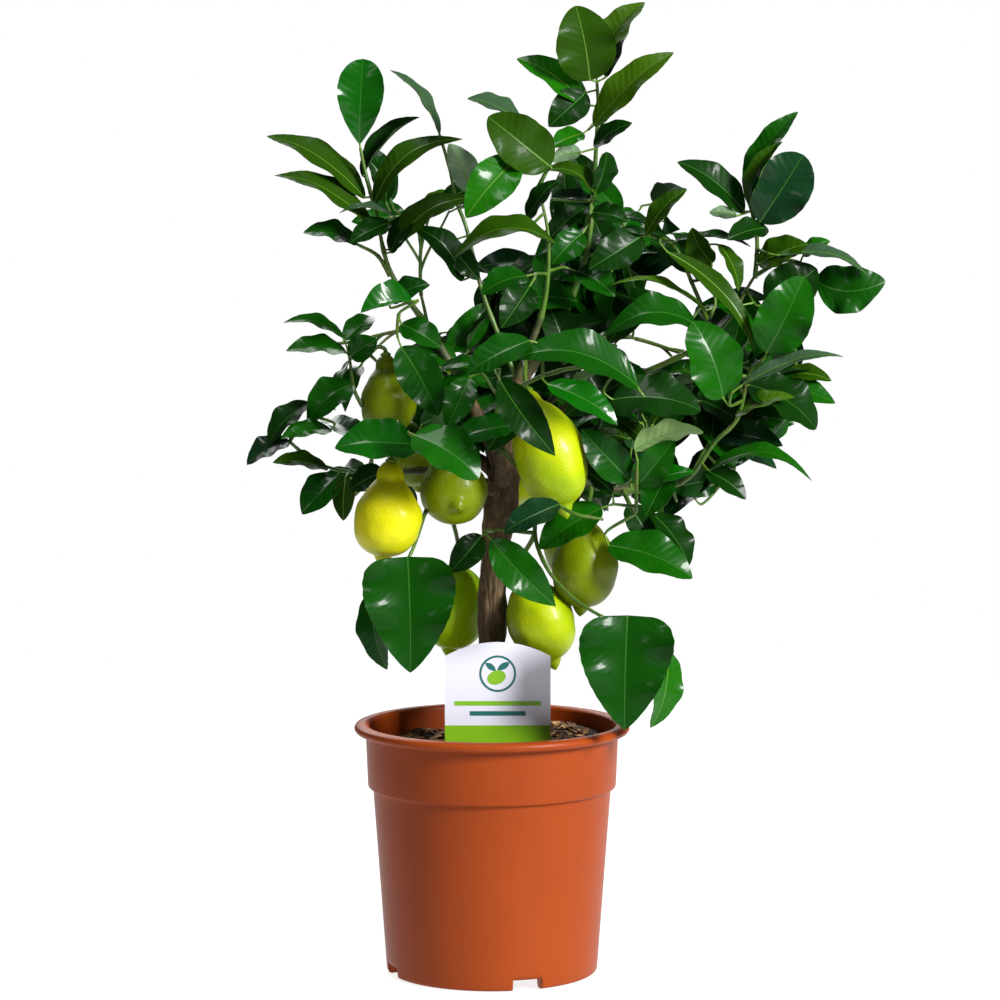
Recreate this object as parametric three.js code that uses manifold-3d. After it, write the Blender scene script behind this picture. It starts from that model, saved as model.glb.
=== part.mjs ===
// A young lemon tree in a plastic nursery pot, in millimetres, +Z up.
// The origin is the middle of the pot's flat underside, where it stands on the table.
// The pot, its soil, a plain plant label and the woody frame are true shapes. Each spray of
// leaves is one uneven solid that holds the space of its leaves, twigs and fruit.
import * as THREE from "three";
import { mergeVertices } from "three/addons/utils/BufferGeometryUtils.js";
import Module from "manifold-3d";

const wasm = await Module();
wasm.setup();

// ---------------------------------------------------------------- driving dimensions

const GAP = 0.4; // clearance between two pieces that meet
const POT = {
  height: 200,
  footRadius: 84.2,
  shoulderHeight: 148,
  shoulderRadius: 95,
  collarRadius: 100.8,
  lipRadius: 110,
  lipHeight: 8,
  wall: 2.5,
  channelHeight: 9, // the underside is hollowed to this height between its middle and its foot
  middleRadius: 38, // the flat middle of the underside
  footWidth: 9,
  notchWidth: 24, // drainage notches through the foot
  notchBearing: 289.5, // degrees round from +X
  notchCount: 4,
  holeRadius: 5,
  holeCount: 6,
  sides: 36,
};
const SOIL = { height: 180, bumps: 5, flatRadius: 30, sides: 20 };
const TRUNK = {
  foot: 15.5, // radius at the flat cut on the soil
  flareHeight: 26,
  radius: 11.8,
  tip: 8.5,
  graftHeight: 372, // middle of the knobbly graft union
  graftSwell: 3.4,
  graftSpan: 26,
  sides: 12,
  steps: 14,
};
const LABEL = {
  width: 83,
  top: 271,
  shoulder: 260, // height of the ends of its arched top edge
  foot: 178,
  spikeWidth: 26,
  spikeTip: 112,
  thickness: 1.2,
  x: 4.6,
  y: -47,
};

// The trunk leans to the right above the graft union.
const TRUNK_ROUTE = [
  [0, 0, SOIL.height - 10],
  [0, 0, 240],
  [1, 0, 320],
  [6, 0, 365],
  [9, 1, 400],
  [10, 2, 428],
];

// Each bough is one tapering limb. Its route starts inside the trunk, and its radii are those of
// its two ends. Each of its sprays has a name, the place of its middle, the bearing and the rise
// of its long axis in degrees, and its length, its width across and its depth through.
const BOUGHS = [
  {
    name: "leader",
    route: [[9, 2, 415], [24, 6, 470], [52, 6, 515], [74, 4, 570], [80, 2, 622]],
    radii: [7.5, 3.6],
    sprays: [
      ["tip", [78, -22, 729], 30, 78, [84, 62, 50]],
      ["right", [108, -34, 699], 345, 44, [92, 40, 42]],
      ["left", [50, 10, 690], 172, 14, [82, 54, 46]],
      ["neck", [78, 6, 640], 90, 84, [68, 70, 76]],
      ["inner", [98, 22, 566], 20, 30, [112, 100, 92]],
    ],
  },
  {
    name: "upper_left",
    route: [[8, 0, 408], [-22, -6, 468], [-50, -8, 515], [-80, -8, 560], [-92, -9, 612]],
    radii: [7, 2.8],
    sprays: [
      ["upright", [-102, -12, 688], 180, 84, [74, 26, 42]],
      ["outer", [-134, -12, 641], 180, 142, [104, 38, 40]],
      ["inner", [-58, -20, 641], 340, 42, [96, 34, 38]],
      ["low_outer", [-113, 6, 577], 180, 36, [80, 42, 34]],
      ["low_inner", [-42, 10, 586], 10, 30, [88, 46, 48]],
      ["elbow", [-74, -40, 529], 215, 14, [66, 60, 48]],
    ],
  },
  {
    name: "centre",
    route: [[9, -3, 418], [20, -28, 475], [40, -40, 532], [44, -44, 585], [36, -48, 628]],
    radii: [6.5, 2.8],
    sprays: [
      ["front", [18, -58, 664], 190, 14, [82, 46, 50]],
      ["left", [-14, -70, 622], 200, 62, [78, 46, 46]],
      ["low", [4, -46, 578], 185, 8, [98, 74, 60]],
    ],
  },
  {
    name: "mid_left",
    route: [[7, 5, 398], [-32, 12, 422], [-78, 12, 432], [-106, 6, 458], [-113, 2, 492]],
    radii: [6, 2.6],
    sprays: [
      ["tip", [-128, 0, 506], 178, 16, [86, 44, 46]],
      ["inner", [-58, -26, 470], 205, 24, [106, 92, 84]],
    ],
  },
  {
    name: "low_left",
    route: [[6, -3, 386], [-38, -14, 402], [-80, -14, 402], [-116, -8, 402], [-140, -4, 408]],
    radii: [6, 2.6],
    sprays: [
      ["outer", [-154, 0, 424], 180, 12, [84, 66, 80]],
      ["front", [-96, -58, 414], 205, 8, [94, 62, 52]],
      ["fruit", [-84, -52, 362], 200, 84, [86, 58, 58]],
      ["hanging", [-62, -74, 290], 190, 78, [98, 46, 92]],
    ],
  },
  {
    name: "low_right",
    route: [[9, 3, 402], [52, 4, 396], [104, 2, 386], [150, 0, 392], [172, -2, 424]],
    radii: [6.8, 3],
    sprays: [
      ["inner", [122, -48, 446], 330, 20, [106, 88, 80]],
      ["middle", [176, -12, 466], 350, 60, [106, 84, 80]],
      ["outer", [238, 12, 466], 5, 8, [82, 54, 62]],
      ["tip", [212, -4, 402], 358, 352, [84, 42, 44]],
      ["under", [112, -34, 366], 340, 342, [100, 64, 74]],
      ["fruit", [54, -34, 304], 330, 78, [100, 56, 78]],
      ["hanging", [109, -78, 247], 320, 84, [94, 40, 76]],
    ],
  },
  {
    name: "upper_right",
    route: [[10, 5, 416], [52, 16, 446], [112, 18, 474], [176, 10, 508], [208, 4, 556]],
    radii: [6.2, 2.8],
    sprays: [
      ["left", [174, -2, 622], 178, 40, [78, 32, 36]],
      ["tip", [208, 6, 652], 20, 62, [88, 34, 40]],
      ["round", [226, -14, 616], 350, 60, [72, 34, 54]],
      ["outer", [262, 12, 554], 5, 358, [108, 44, 58]],
      ["front", [224, -62, 522], 320, 66, [76, 40, 56]],
      ["arch", [160, -26, 556], 300, 24, [88, 84, 54]],
    ],
  },
  {
    name: "front",
    route: [[8, -3, 392], [6, -42, 424], [4, -78, 452], [6, -102, 488]],
    radii: [6, 2.8],
    sprays: [
      ["top", [4, -104, 522], 262, 42, [106, 116, 104]],
      ["right", [68, -122, 484], 322, 10, [108, 84, 64]],
      ["left", [-26, -110, 442], 230, 12, [90, 96, 66]],
      ["fruit", [46, -66, 412], 300, 78, [86, 60, 62]],
      ["low", [38, -92, 350], 292, 350, [78, 76, 66]],
    ],
  },
  {
    name: "back_left",
    route: [[6, 6, 410], [-18, 46, 446], [-44, 84, 484], [-58, 104, 536]],
    radii: [6.4, 2.8],
    sprays: [
      ["low", [-92, 92, 404], 138, 8, [104, 88, 70]],
      ["middle", [-112, 92, 494], 148, 18, [106, 90, 78]],
      ["high", [-50, 96, 600], 118, 50, [106, 90, 80]],
    ],
  },
  {
    name: "back_right",
    route: [[11, 6, 404], [38, 48, 442], [74, 86, 482], [96, 108, 532]],
    radii: [6.4, 2.8],
    sprays: [
      ["low", [98, 110, 392], 48, 352, [108, 84, 66]],
      ["middle", [104, 140, 494], 62, 12, [96, 96, 74]],
      ["outer", [186, 96, 470], 28, 14, [104, 78, 70]],
      ["high", [126, 100, 600], 44, 44, [106, 88, 76]],
      ["heart", [6, 112, 462], 92, 20, [108, 128, 150]],
    ],
  },
];

// Plain colours of the real surfaces.
const FINISH = {
  terracottaPlastic: { color: "#cc6637", roughness: 0.42, metalness: 0 },
  compost: { color: "#3a2317", roughness: 0.95, metalness: 0 },
  bark: { color: "#5c5038", roughness: 0.85, metalness: 0 },
  leaf: { color: "#246413", roughness: 0.4, metalness: 0 },
  labelPlastic: { color: "#e7e6f6", roughness: 0.35, metalness: 0 },
};

// ---------------------------------------------------------------- joining and cutting

function solidOf(geometry) {
  const bare = geometry.clone();
  bare.deleteAttribute("normal");
  bare.deleteAttribute("uv");
  const merged = mergeVertices(bare, 1e-3);
  return new wasm.Manifold(
    new wasm.Mesh({
      numProp: 3,
      vertProperties: new Float32Array(merged.attributes.position.array),
      triVerts: new Uint32Array(merged.index.array),
    }),
  );
}

function geometryOf(solid) {
  const { vertProperties, triVerts } = solid.getMesh();
  const geometry = new THREE.BufferGeometry();
  geometry.setAttribute("position", new THREE.BufferAttribute(vertProperties, 3));
  geometry.setIndex(new THREE.BufferAttribute(triVerts, 1));
  const faceted = geometry.toNonIndexed();
  faceted.computeVertexNormals();
  return faceted;
}

function largestPiece(solid) {
  const pieces = solid.decompose();
  return pieces.reduce((most, piece) => (piece.volume() > most.volume() ? piece : most));
}

function boxesMeet(one, other) {
  const a = one.boundingBox();
  const b = other.boundingBox();
  return [0, 1, 2].every((k) => a.min[k] < b.max[k] && b.min[k] < a.max[k]);
}

// The solid less whatever the cutters hold of it.
function cutBy(solid, cutters) {
  const near = cutters.filter((cutter) => boxesMeet(solid, cutter));
  return near.reduce((rest, cutter) => largestPiece(rest.subtract(cutter)), solid);
}

// Everything on the far side of a plane, as a block that is larger than the tree.
function blockBeyond(point, direction) {
  const side = 2000;
  const block = new THREE.BoxGeometry(side, side, side);
  block.translate(0, 0, side / 2);
  const turn = new THREE.Quaternion();
  turn.setFromUnitVectors(new THREE.Vector3(0, 0, 1), direction);
  block.applyQuaternion(turn);
  block.translate(point.x, point.y, point.z);
  return solidOf(block);
}

// ---------------------------------------------------------------- seeded unevenness

function seededRandom(seed) {
  let state = seed * 2654435761;
  return () => {
    state = (state + 0x6d2b79f5) | 0;
    let mixed = Math.imul(state ^ (state >>> 15), 1 | state);
    mixed = (mixed + Math.imul(mixed ^ (mixed >>> 7), 61 | mixed)) ^ mixed;
    return ((mixed ^ (mixed >>> 14)) >>> 0) / 4294967296;
  };
}

// ---------------------------------------------------------------- pot, soil and label

function potProfile() {
  const { height, footRadius, shoulderHeight, shoulderRadius, collarRadius } = POT;
  const { lipRadius, lipHeight, wall, channelHeight, middleRadius, footWidth } = POT;
  const lipBottom = height - lipHeight;
  const lipMiddle = height - lipHeight / 2;
  const lipRound = lipHeight / 2;
  const floor = channelHeight + wall;
  return [
    [0, 0],
    [middleRadius, 0],
    [middleRadius + 4, channelHeight],
    [footRadius - footWidth - 3, channelHeight],
    [footRadius - footWidth, 0],
    [footRadius, 0],
    [shoulderRadius, shoulderHeight],
    [shoulderRadius + 4, shoulderHeight + 1.5],
    [collarRadius, lipBottom],
    [lipRadius - lipRound, lipBottom],
    [lipRadius - 1, lipMiddle - 2],
    [lipRadius, lipMiddle],
    [lipRadius - 1, lipMiddle + 2.8],
    [lipRadius - lipRound, height],
    [collarRadius, height],
    [collarRadius - wall, height - 2],
    [collarRadius - wall - 1.5, shoulderHeight + 3],
    [shoulderRadius - wall, shoulderHeight - 1],
    [footRadius - wall, floor + 3],
    [footRadius - wall - 3, floor],
    [middleRadius - 1, floor],
    [middleRadius - 5, wall],
    [0, wall],
  ];
}

function turned(profile, sides) {
  const points = profile.map(([radius, height]) => new THREE.Vector2(radius, height));
  const geometry = new THREE.LatheGeometry(points, sides);
  geometry.rotateX(Math.PI / 2);
  return geometry;
}

function pot() {
  const shell = solidOf(turned(potProfile(), POT.sides));
  const cutters = [];
  for (let i = 0; i < POT.notchCount; i++) {
    const bearing = THREE.MathUtils.degToRad(POT.notchBearing + (i * 360) / POT.notchCount);
    const notch = new THREE.BoxGeometry(POT.footWidth + 12, POT.notchWidth, POT.channelHeight * 2);
    notch.translate(POT.footRadius - POT.footWidth / 2, 0, 0);
    notch.rotateZ(bearing);
    cutters.push(solidOf(notch));
  }
  const holeRing = (POT.middleRadius + POT.footRadius - POT.footWidth) / 2;
  for (let i = 0; i < POT.holeCount; i++) {
    const hole = new THREE.CylinderGeometry(POT.holeRadius, POT.holeRadius, 20, 8);
    hole.rotateX(Math.PI / 2);
    hole.translate(holeRing, 0, POT.channelHeight);
    hole.rotateZ(((i + 0.5) * 2 * Math.PI) / POT.holeCount);
    cutters.push(solidOf(hole));
  }
  return cutBy(shell, cutters);
}

function labelOutline() {
  const { width, top, shoulder, foot, spikeWidth, spikeTip, x } = LABEL;
  const outline = new THREE.Shape();
  outline.moveTo(x, spikeTip);
  outline.lineTo(x + spikeWidth / 2, spikeTip + spikeWidth);
  outline.lineTo(x + spikeWidth / 2, foot - 6);
  outline.lineTo(x + width / 2, foot);
  outline.lineTo(x + width / 2, shoulder);
  outline.quadraticCurveTo(x + width / 4, top, x, top);
  outline.quadraticCurveTo(x - width / 4, top, x - width / 2, shoulder);
  outline.lineTo(x - width / 2, foot);
  outline.lineTo(x - spikeWidth / 2, foot - 6);
  outline.lineTo(x - spikeWidth / 2, spikeTip + spikeWidth);
  return outline;
}

// The label, or with a clearance the slot that it needs.
function label(clearance) {
  const sheet = new THREE.ExtrudeGeometry(labelOutline(), {
    depth: LABEL.thickness,
    curveSegments: 5,
    bevelEnabled: clearance > 0,
    bevelSize: clearance,
    bevelThickness: clearance,
    bevelSegments: 1,
  });
  sheet.rotateX(Math.PI / 2);
  sheet.translate(0, LABEL.y, 0);
  return solidOf(sheet);
}

// The soil fills the pot's inside, a clearance away from its wall, with a heaped, lumpy top.
function soil() {
  const { height, bumps, flatRadius, sides } = SOIL;
  const clear = 1 + GAP;
  const wellFloor = POT.wall + GAP;
  const floor = POT.channelHeight + wellFloor;
  const foot = POT.footRadius - POT.wall - clear;
  const shoulder = POT.shoulderRadius - POT.wall - clear;
  const collar = POT.collarRadius - POT.wall - 1.5 - clear;
  const profile = [
    [0, wellFloor],
    [POT.middleRadius - 7, wellFloor],
    [POT.middleRadius - 3, floor],
    [foot - 3, floor],
    [foot, floor + 3],
    [shoulder, POT.shoulderHeight - 2],
    [collar, POT.shoulderHeight + 4],
    [collar, height],
    [81, height],
    [64, height],
    [47, height],
    [flatRadius, height],
    [0, height],
  ];
  const geometry = turned(profile, sides);
  const position = geometry.attributes.position;
  for (let i = 0; i < position.count; i++) {
    const x = position.getX(i);
    const y = position.getY(i);
    const radius = Math.hypot(x, y);
    if (position.getZ(i) < height - 0.1 || radius < flatRadius + 1) continue;
    const wave = Math.sin(x / 13) * Math.cos(y / 11) + Math.sin((x + y) / 17 + 1);
    const heaped = (x + y) / 60;
    position.setZ(i, height + (bumps * (wave + heaped)) / 3);
  }
  return solidOf(geometry).subtract(label(GAP));
}

// ---------------------------------------------------------------- trunk and boughs

// A closed round limb along a route, from a cylinder whose rings are carried to the curve.
function limb(route, radiusAt, sides, steps, extra) {
  const curve = new THREE.CatmullRomCurve3(route.map((point) => new THREE.Vector3(...point)));
  const frames = curve.computeFrenetFrames(steps);
  const geometry = new THREE.CylinderGeometry(1, 1, 1, sides, steps);
  const position = geometry.attributes.position;
  for (let i = 0; i < position.count; i++) {
    const ring = Math.round((position.getY(i) + 0.5) * steps);
    const along = ring / steps;
    const across = radiusAt(along) + extra;
    const point = curve.getPointAt(along);
    if (ring === steps) point.addScaledVector(frames.tangents[ring], extra);
    point.addScaledVector(frames.normals[ring], position.getX(i) * across);
    point.addScaledVector(frames.binormals[ring], -position.getZ(i) * across);
    position.setXYZ(i, point.x, point.y, point.z);
  }
  return solidOf(geometry);
}

function trunk(extra) {
  const start = TRUNK_ROUTE[0][2];
  const length = TRUNK_ROUTE.at(-1)[2] - start;
  const radiusAt = (along) => {
    const height = start + along * length;
    const taper = THREE.MathUtils.lerp(TRUNK.radius, TRUNK.tip, along ** 2);
    const rise = THREE.MathUtils.clamp((height - SOIL.height) / TRUNK.flareHeight, 0, 1);
    const flare = (TRUNK.foot - TRUNK.radius) * (1 - rise) ** 2;
    const fromGraft = (height - TRUNK.graftHeight) / TRUNK.graftSpan;
    return taper + flare + TRUNK.graftSwell * Math.exp(-(fromGraft ** 2));
  };
  return limb(TRUNK_ROUTE, radiusAt, TRUNK.sides, TRUNK.steps, extra);
}

// The trunk's foot is a level cut that stands on the soil.
function cutAtSoil(solid) {
  const cut = new THREE.Vector3(0, 0, SOIL.height + GAP);
  return solid.subtract(blockBeyond(cut, new THREE.Vector3(0, 0, -1)));
}

function bough({ route, radii }, extra) {
  const radiusAt = (along) => THREE.MathUtils.lerp(radii[0], radii[1], along ** 0.8);
  return limb(route, radiusAt, 7, 6, extra);
}

// ---------------------------------------------------------------- sprays of leaves

// One closed uneven solid: a ball whose skin swells into a few leafy lobes set round it by the
// golden angle, narrowed at its foot, then brought to its length, width and depth.
function spray([, middle, bearing, rise, size], seed) {
  const random = seededRandom(seed);
  const longest = Math.max(...size);
  const geometry = mergeVertices(
    new THREE.IcosahedronGeometry(1, longest > 105 ? 2 : 1).deleteAttribute("normal").deleteAttribute("uv"),
    1e-4,
  );
  const lobes = [];
  const lobeCount = 7;
  for (let i = 0; i < lobeCount; i++) {
    const along = 1 - (2 * (i + 0.5)) / lobeCount;
    const turn = i * Math.PI * (3 - Math.sqrt(5)) + random() * 1.2;
    const out = Math.sqrt(1 - along * along);
    lobes.push({
      way: new THREE.Vector3(along, out * Math.cos(turn), out * Math.sin(turn)),
      swell: 0.14 + 0.3 * random(),
    });
  }
  const position = geometry.attributes.position;
  const point = new THREE.Vector3();
  const box = new THREE.Box3();
  for (let i = 0; i < position.count; i++) {
    point.fromBufferAttribute(position, i).normalize();
    let reach = 0.8;
    for (const { way, swell } of lobes) {
      reach += swell * Math.max(0, point.dot(way)) ** 5;
    }
    const narrowing = 1 - 0.22 * Math.max(0, -point.x);
    point.set(point.x * reach, point.y * reach * narrowing, point.z * reach * narrowing);
    position.setXYZ(i, point.x, point.y, point.z);
    box.expandByPoint(point);
  }
  const centre = box.getCenter(new THREE.Vector3());
  const extent = box.getSize(new THREE.Vector3());
  geometry.translate(-centre.x, -centre.y, -centre.z);
  geometry.scale(size[0] / extent.x, size[1] / extent.y, size[2] / extent.z);
  geometry.rotateY(THREE.MathUtils.degToRad(-rise));
  geometry.rotateZ(THREE.MathUtils.degToRad(bearing));
  geometry.translate(...middle);
  return solidOf(geometry);
}

function middleOf(solid) {
  const { min, max } = solid.boundingBox();
  return new THREE.Vector3(...min).add(new THREE.Vector3(...max)).multiplyScalar(0.5);
}

// Where two sprays share space, a plane through the middle of that space parts them.
function partNeighbours(sprays) {
  for (let i = 0; i < sprays.length; i++) {
    for (let j = i + 1; j < sprays.length; j++) {
      if (!boxesMeet(sprays[i].solid, sprays[j].solid)) continue;
      const shared = sprays[i].solid.intersect(sprays[j].solid);
      if (shared.volume() < 1e-3) continue;
      const meeting = middleOf(shared);
      const way = middleOf(sprays[j].solid).sub(middleOf(sprays[i].solid)).normalize();
      const near = meeting.clone().addScaledVector(way, -GAP);
      const far = meeting.clone().addScaledVector(way, GAP);
      const beyond = blockBeyond(near, way);
      const behind = blockBeyond(far, way.clone().negate());
      sprays[i].solid = largestPiece(sprays[i].solid.subtract(beyond));
      sprays[j].solid = largestPiece(sprays[j].solid.subtract(behind));
    }
  }
}

// ---------------------------------------------------------------- the whole tree

const tree = new THREE.Group();

function addPart(name, solid, finish) {
  const mesh = new THREE.Mesh(geometryOf(solid), new THREE.MeshStandardMaterial(finish));
  mesh.name = name;
  tree.add(mesh);
}

addPart("pot", pot(), FINISH.terracottaPlastic);
addPart("potting_soil", soil(), FINISH.compost);
addPart("plant_label", label(0), FINISH.labelPlastic);
addPart("trunk", cutAtSoil(trunk(0)), FINISH.bark);

const woodSpace = [trunk(GAP)];
for (const one of BOUGHS) {
  addPart(`bough_${one.name}`, cutBy(bough(one, 0), woodSpace), FINISH.bark);
  woodSpace.push(bough(one, GAP));
}

const sprays = BOUGHS.flatMap((one) => one.sprays.map((row) => ({ name: `${one.name}_${row[0]}`, row })));
sprays.forEach((one, index) => {
  one.solid = spray(one.row, index + 1);
});
partNeighbours(sprays);
for (const { name, solid } of sprays) {
  addPart(`leaves_${name}`, cutBy(solid, woodSpace), FINISH.leaf);
}

export default tree;
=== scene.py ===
"""A young grafted lemon tree in a plastic nursery pot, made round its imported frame.

Every length is in millimetres until a mesh is made, +Z up, and the viewer stands at -Y.
The leaves that make the crown's outline are set out one by one. The rest grow from the
boughs by a seeded rule, inside the masses of the frame.
"""

from math import atan, cos, pi, radians, sin, sqrt, tau

import bpy
import numpy as np
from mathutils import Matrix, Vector, noise


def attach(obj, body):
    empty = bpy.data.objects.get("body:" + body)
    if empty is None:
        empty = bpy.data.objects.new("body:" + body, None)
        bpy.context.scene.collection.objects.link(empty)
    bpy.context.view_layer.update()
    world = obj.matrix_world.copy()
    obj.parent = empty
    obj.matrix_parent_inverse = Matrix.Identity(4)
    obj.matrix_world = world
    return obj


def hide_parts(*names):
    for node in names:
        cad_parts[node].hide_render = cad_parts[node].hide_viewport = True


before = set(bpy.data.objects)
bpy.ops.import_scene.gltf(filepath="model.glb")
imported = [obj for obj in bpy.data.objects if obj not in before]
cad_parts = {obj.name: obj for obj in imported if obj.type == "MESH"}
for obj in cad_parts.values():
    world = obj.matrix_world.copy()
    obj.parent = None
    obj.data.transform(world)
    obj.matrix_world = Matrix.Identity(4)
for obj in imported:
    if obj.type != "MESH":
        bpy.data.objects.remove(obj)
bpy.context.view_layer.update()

MM = 0.001
BODY = "root"
GOLDEN_ANGLE = pi * (3 - sqrt(5))
random = np.random.default_rng(11)

# ---------------------------------------------------------------- camera and light

EYE = np.array((6.4, -3000.0, 669.2))
AIM = np.array((6.4, 0.0, 378.2))

camera = bpy.data.objects.new("camera", bpy.data.cameras.new("camera"))
camera.location = EYE * MM
camera.rotation_euler = Vector(AIM - EYE).to_track_quat("-Z", "Y").to_euler()
camera.data.lens = 136.7
camera.data.sensor_width = 36
bpy.context.collection.objects.link(camera)
bpy.context.scene.camera = camera
bpy.context.scene.view_settings.view_transform = "Standard"


def softbox(name, place, width, height, watts, tint=(1, 1, 1)):
    """A rectangular lamp in metres, turned towards the middle of the tree."""
    lamp = bpy.data.lights.new(name, "AREA")
    lamp.shape = "RECTANGLE"
    lamp.size, lamp.size_y = width, height
    lamp.energy = watts
    lamp.color = tint
    holder = bpy.data.objects.new(name, lamp)
    holder.location = place
    holder.rotation_euler = (Vector((0, 0, 0.4)) - Vector(place)).to_track_quat("-Z", "Y").to_euler()
    bpy.context.collection.objects.link(holder)


softbox("key_light", (1.8, -1.6, 1.45), 0.5, 0.9, 156)
softbox("fill_light", (-1.5, -1.9, 1.5), 0.3, 1.0, 4)
softbox("top_light", (-0.2, -0.5, 2.3), 0.7, 0.6, 17)
softbox("back_light", (-0.5, 1.9, 1.5), 1.6, 1.2, 30)


# ---------------------------------------------------------------- materials


def linear(hex_colour):
    """An sRGB hex value as a linear colour."""
    parts = [int(hex_colour[k : k + 2], 16) / 255 for k in (1, 3, 5)]
    return (*(p / 12.92 if p <= 0.04045 else ((p + 0.055) / 1.055) ** 2.4 for p in parts), 1)


def node(tree, kind, settings=None, inputs=None):
    """Adds a node. Its inputs are given as plain values or as the sockets that feed them."""
    made = tree.nodes.new(kind)
    for name, value in (settings or {}).items():
        setattr(made, name, value)
    for name, value in (inputs or {}).items():
        if isinstance(value, bpy.types.NodeSocket):
            tree.links.new(value, made.inputs[name])
        else:
            made.inputs[name].default_value = value
    return made


def material(name, values, pattern=None):
    """A finish: the plain values of its shader, then whatever its pattern varies."""
    made = bpy.data.materials.new(name)
    made.use_nodes = True
    shader = made.node_tree.nodes["Principled BSDF"]
    for socket, value in values.items():
        shader.inputs[socket].default_value = linear(value) if isinstance(value, str) else value
    if pattern:
        pattern(made.node_tree, shader)
    return made


def ramp(tree, factor, stops):
    """A colour ramp from a list of places and hex colours."""
    made = node(tree, "ShaderNodeValToRGB", inputs={"Fac": factor})
    elements = made.color_ramp.elements
    while len(elements) < len(stops):
        elements.new(0.5)
    for element, (place, colour) in zip(elements, stops):
        element.position, element.color = place, linear(colour)
    return made.outputs["Color"]


def leaf_pattern(vein_depth):
    """Side veins 6 mm apart that run up and out from the midrib, over a fine uneven skin."""

    def pattern(tree, shader):
        blade = node(tree, "ShaderNodeUVMap", {"uv_map": "blade"})
        axes = node(tree, "ShaderNodeSeparateXYZ", inputs={0: blade.outputs["UV"]})
        out = node(tree, "ShaderNodeMath", {"operation": "ABSOLUTE"}, {0: axes.outputs["X"]})
        climb = node(
            tree, "ShaderNodeMath", {"operation": "MULTIPLY_ADD"},
            {0: out.outputs[0], 1: -0.62, 2: axes.outputs["Y"]},
        )
        drift = node(tree, "ShaderNodeTexNoise", inputs={"Vector": blade.outputs["UV"], "Scale": 1.1, "Detail": 1.0})
        wander = node(
            tree, "ShaderNodeMath", {"operation": "MULTIPLY_ADD"},
            {0: drift.outputs["Fac"], 1: 0.34, 2: climb.outputs[0]},
        )
        # UV units are centimetres, so one side vein each 0.6 of a unit.
        turns = node(tree, "ShaderNodeMath", {"operation": "MULTIPLY"}, {0: wander.outputs[0], 1: tau / 0.6})
        swing = node(tree, "ShaderNodeMath", {"operation": "SINE"}, {0: turns.outputs[0]})
        skin = node(tree, "ShaderNodeTexNoise", inputs={"Vector": blade.outputs["UV"], "Scale": 6.0, "Detail": 3.0})
        height = node(
            tree, "ShaderNodeMath", {"operation": "MULTIPLY_ADD"},
            {0: skin.outputs["Fac"], 1: 0.9, 2: swing.outputs[0]},
        )
        bump = node(
            tree, "ShaderNodeBump", inputs={"Strength": 0.5, "Distance": vein_depth * MM, "Height": height.outputs[0]}
        )
        tree.links.new(bump.outputs["Normal"], shader.inputs["Normal"])

    return pattern


# Citrus leaf, grown: a waxed skin over deep green. The wax gives sharp white streaks on the
# upper side, and the underside is paler and duller. Its colours are plain, dealt out by spray.
UPPER = {
    "dark": ("#072702", 0.42, 0.07),
    "deep": ("#083902", 0.38, 0.11),
    "mid": ("#0c4302", 0.36, 0.14),
    "glossy": ("#064602", 0.3, 0.34),
    "bright": ("#134f02", 0.34, 0.16),
    "olive": ("#1d3a01", 0.46, 0.03),
    "young": ("#2f4f04", 0.46, 0.04),
    "blue": ("#0b2b13", 0.36, 0.24),
    "grey": ("#2a422a", 0.48, 0.03),
}
UNDER = {
    "dark": "#2c4822",
    "deep": "#304f24",
    "mid": "#375626",
    "glossy": "#3b5d28",
    "bright": "#47672c",
    "olive": "#4f6b32",
    "young": "#66814a",
    "blue": "#3a5439",
    "grey": "#5f7758",
}
TONES = list(UPPER)
leaf_finishes = []
for tone, (colour, roughness, wax) in UPPER.items():
    leaf_finishes.append(
        material(
            f"waxed_leaf_{tone}",
            {
                "Base Color": colour, "Roughness": roughness, "IOR": 1.44, "Specular IOR Level": 0.07,
                "Coat Weight": wax, "Coat Roughness": 0.12,
            },
            leaf_pattern(0.11),
        )
    )
for tone, colour in UNDER.items():
    leaf_finishes.append(
        material(f"leaf_underside_{tone}", {"Base Color": colour, "Roughness": 0.62, "IOR": 1.4, "Specular IOR Level": 0.3}, leaf_pattern(0.18))
    )
# The midrib is a smooth cord, yellower than the blade.
leaf_finishes.append(material("leaf_midrib", {"Base Color": "#456a16", "Roughness": 0.38, "IOR": 1.44}))
leaf_finishes.append(material("leaf_midrib_dark", {"Base Color": "#24520e", "Roughness": 0.36, "IOR": 1.44}))
MIDRIB = 2 * len(TONES)
PALE_RIBS = {"olive", "young", "grey", "bright"}


def bark_pattern(tree, shader):
    """Grey-brown cork with dark upright fissures 3 mm apart and paler flakes between them."""
    place = node(tree, "ShaderNodeTexCoord")
    # Stretched 5 to 1 along the limb, as the bark splits along its grain.
    stretch = node(
        tree, "ShaderNodeMapping", inputs={"Vector": place.outputs["Object"], "Scale": (480, 480, 80)}
    )
    grain = node(tree, "ShaderNodeTexNoise", inputs={"Vector": stretch.outputs[0], "Scale": 1.0, "Detail": 6.0, "Roughness": 0.62})
    blotch = node(tree, "ShaderNodeTexNoise", inputs={"Vector": place.outputs["Object"], "Scale": 55.0, "Detail": 3.0})
    cork = ramp(tree, grain.outputs["Fac"], [(0.3, "#20150c"), (0.47, "#46341f"), (0.6, "#664f35"), (0.78, "#8e7757")])
    mossy = ramp(tree, blotch.outputs["Fac"], [(0.35, "#413c1e"), (0.7, "#69583e")])
    mixed = node(
        tree, "ShaderNodeMix", {"data_type": "RGBA", "blend_type": "MIX"},
        {"Factor": 0.32, 6: cork, 7: mossy},
    )
    tree.links.new(mixed.outputs[2], shader.inputs["Base Color"])
    bump = node(tree, "ShaderNodeBump", inputs={"Strength": 0.8, "Distance": 0.9 * MM, "Height": grain.outputs["Fac"]})
    tree.links.new(bump.outputs["Normal"], shader.inputs["Normal"])


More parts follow.
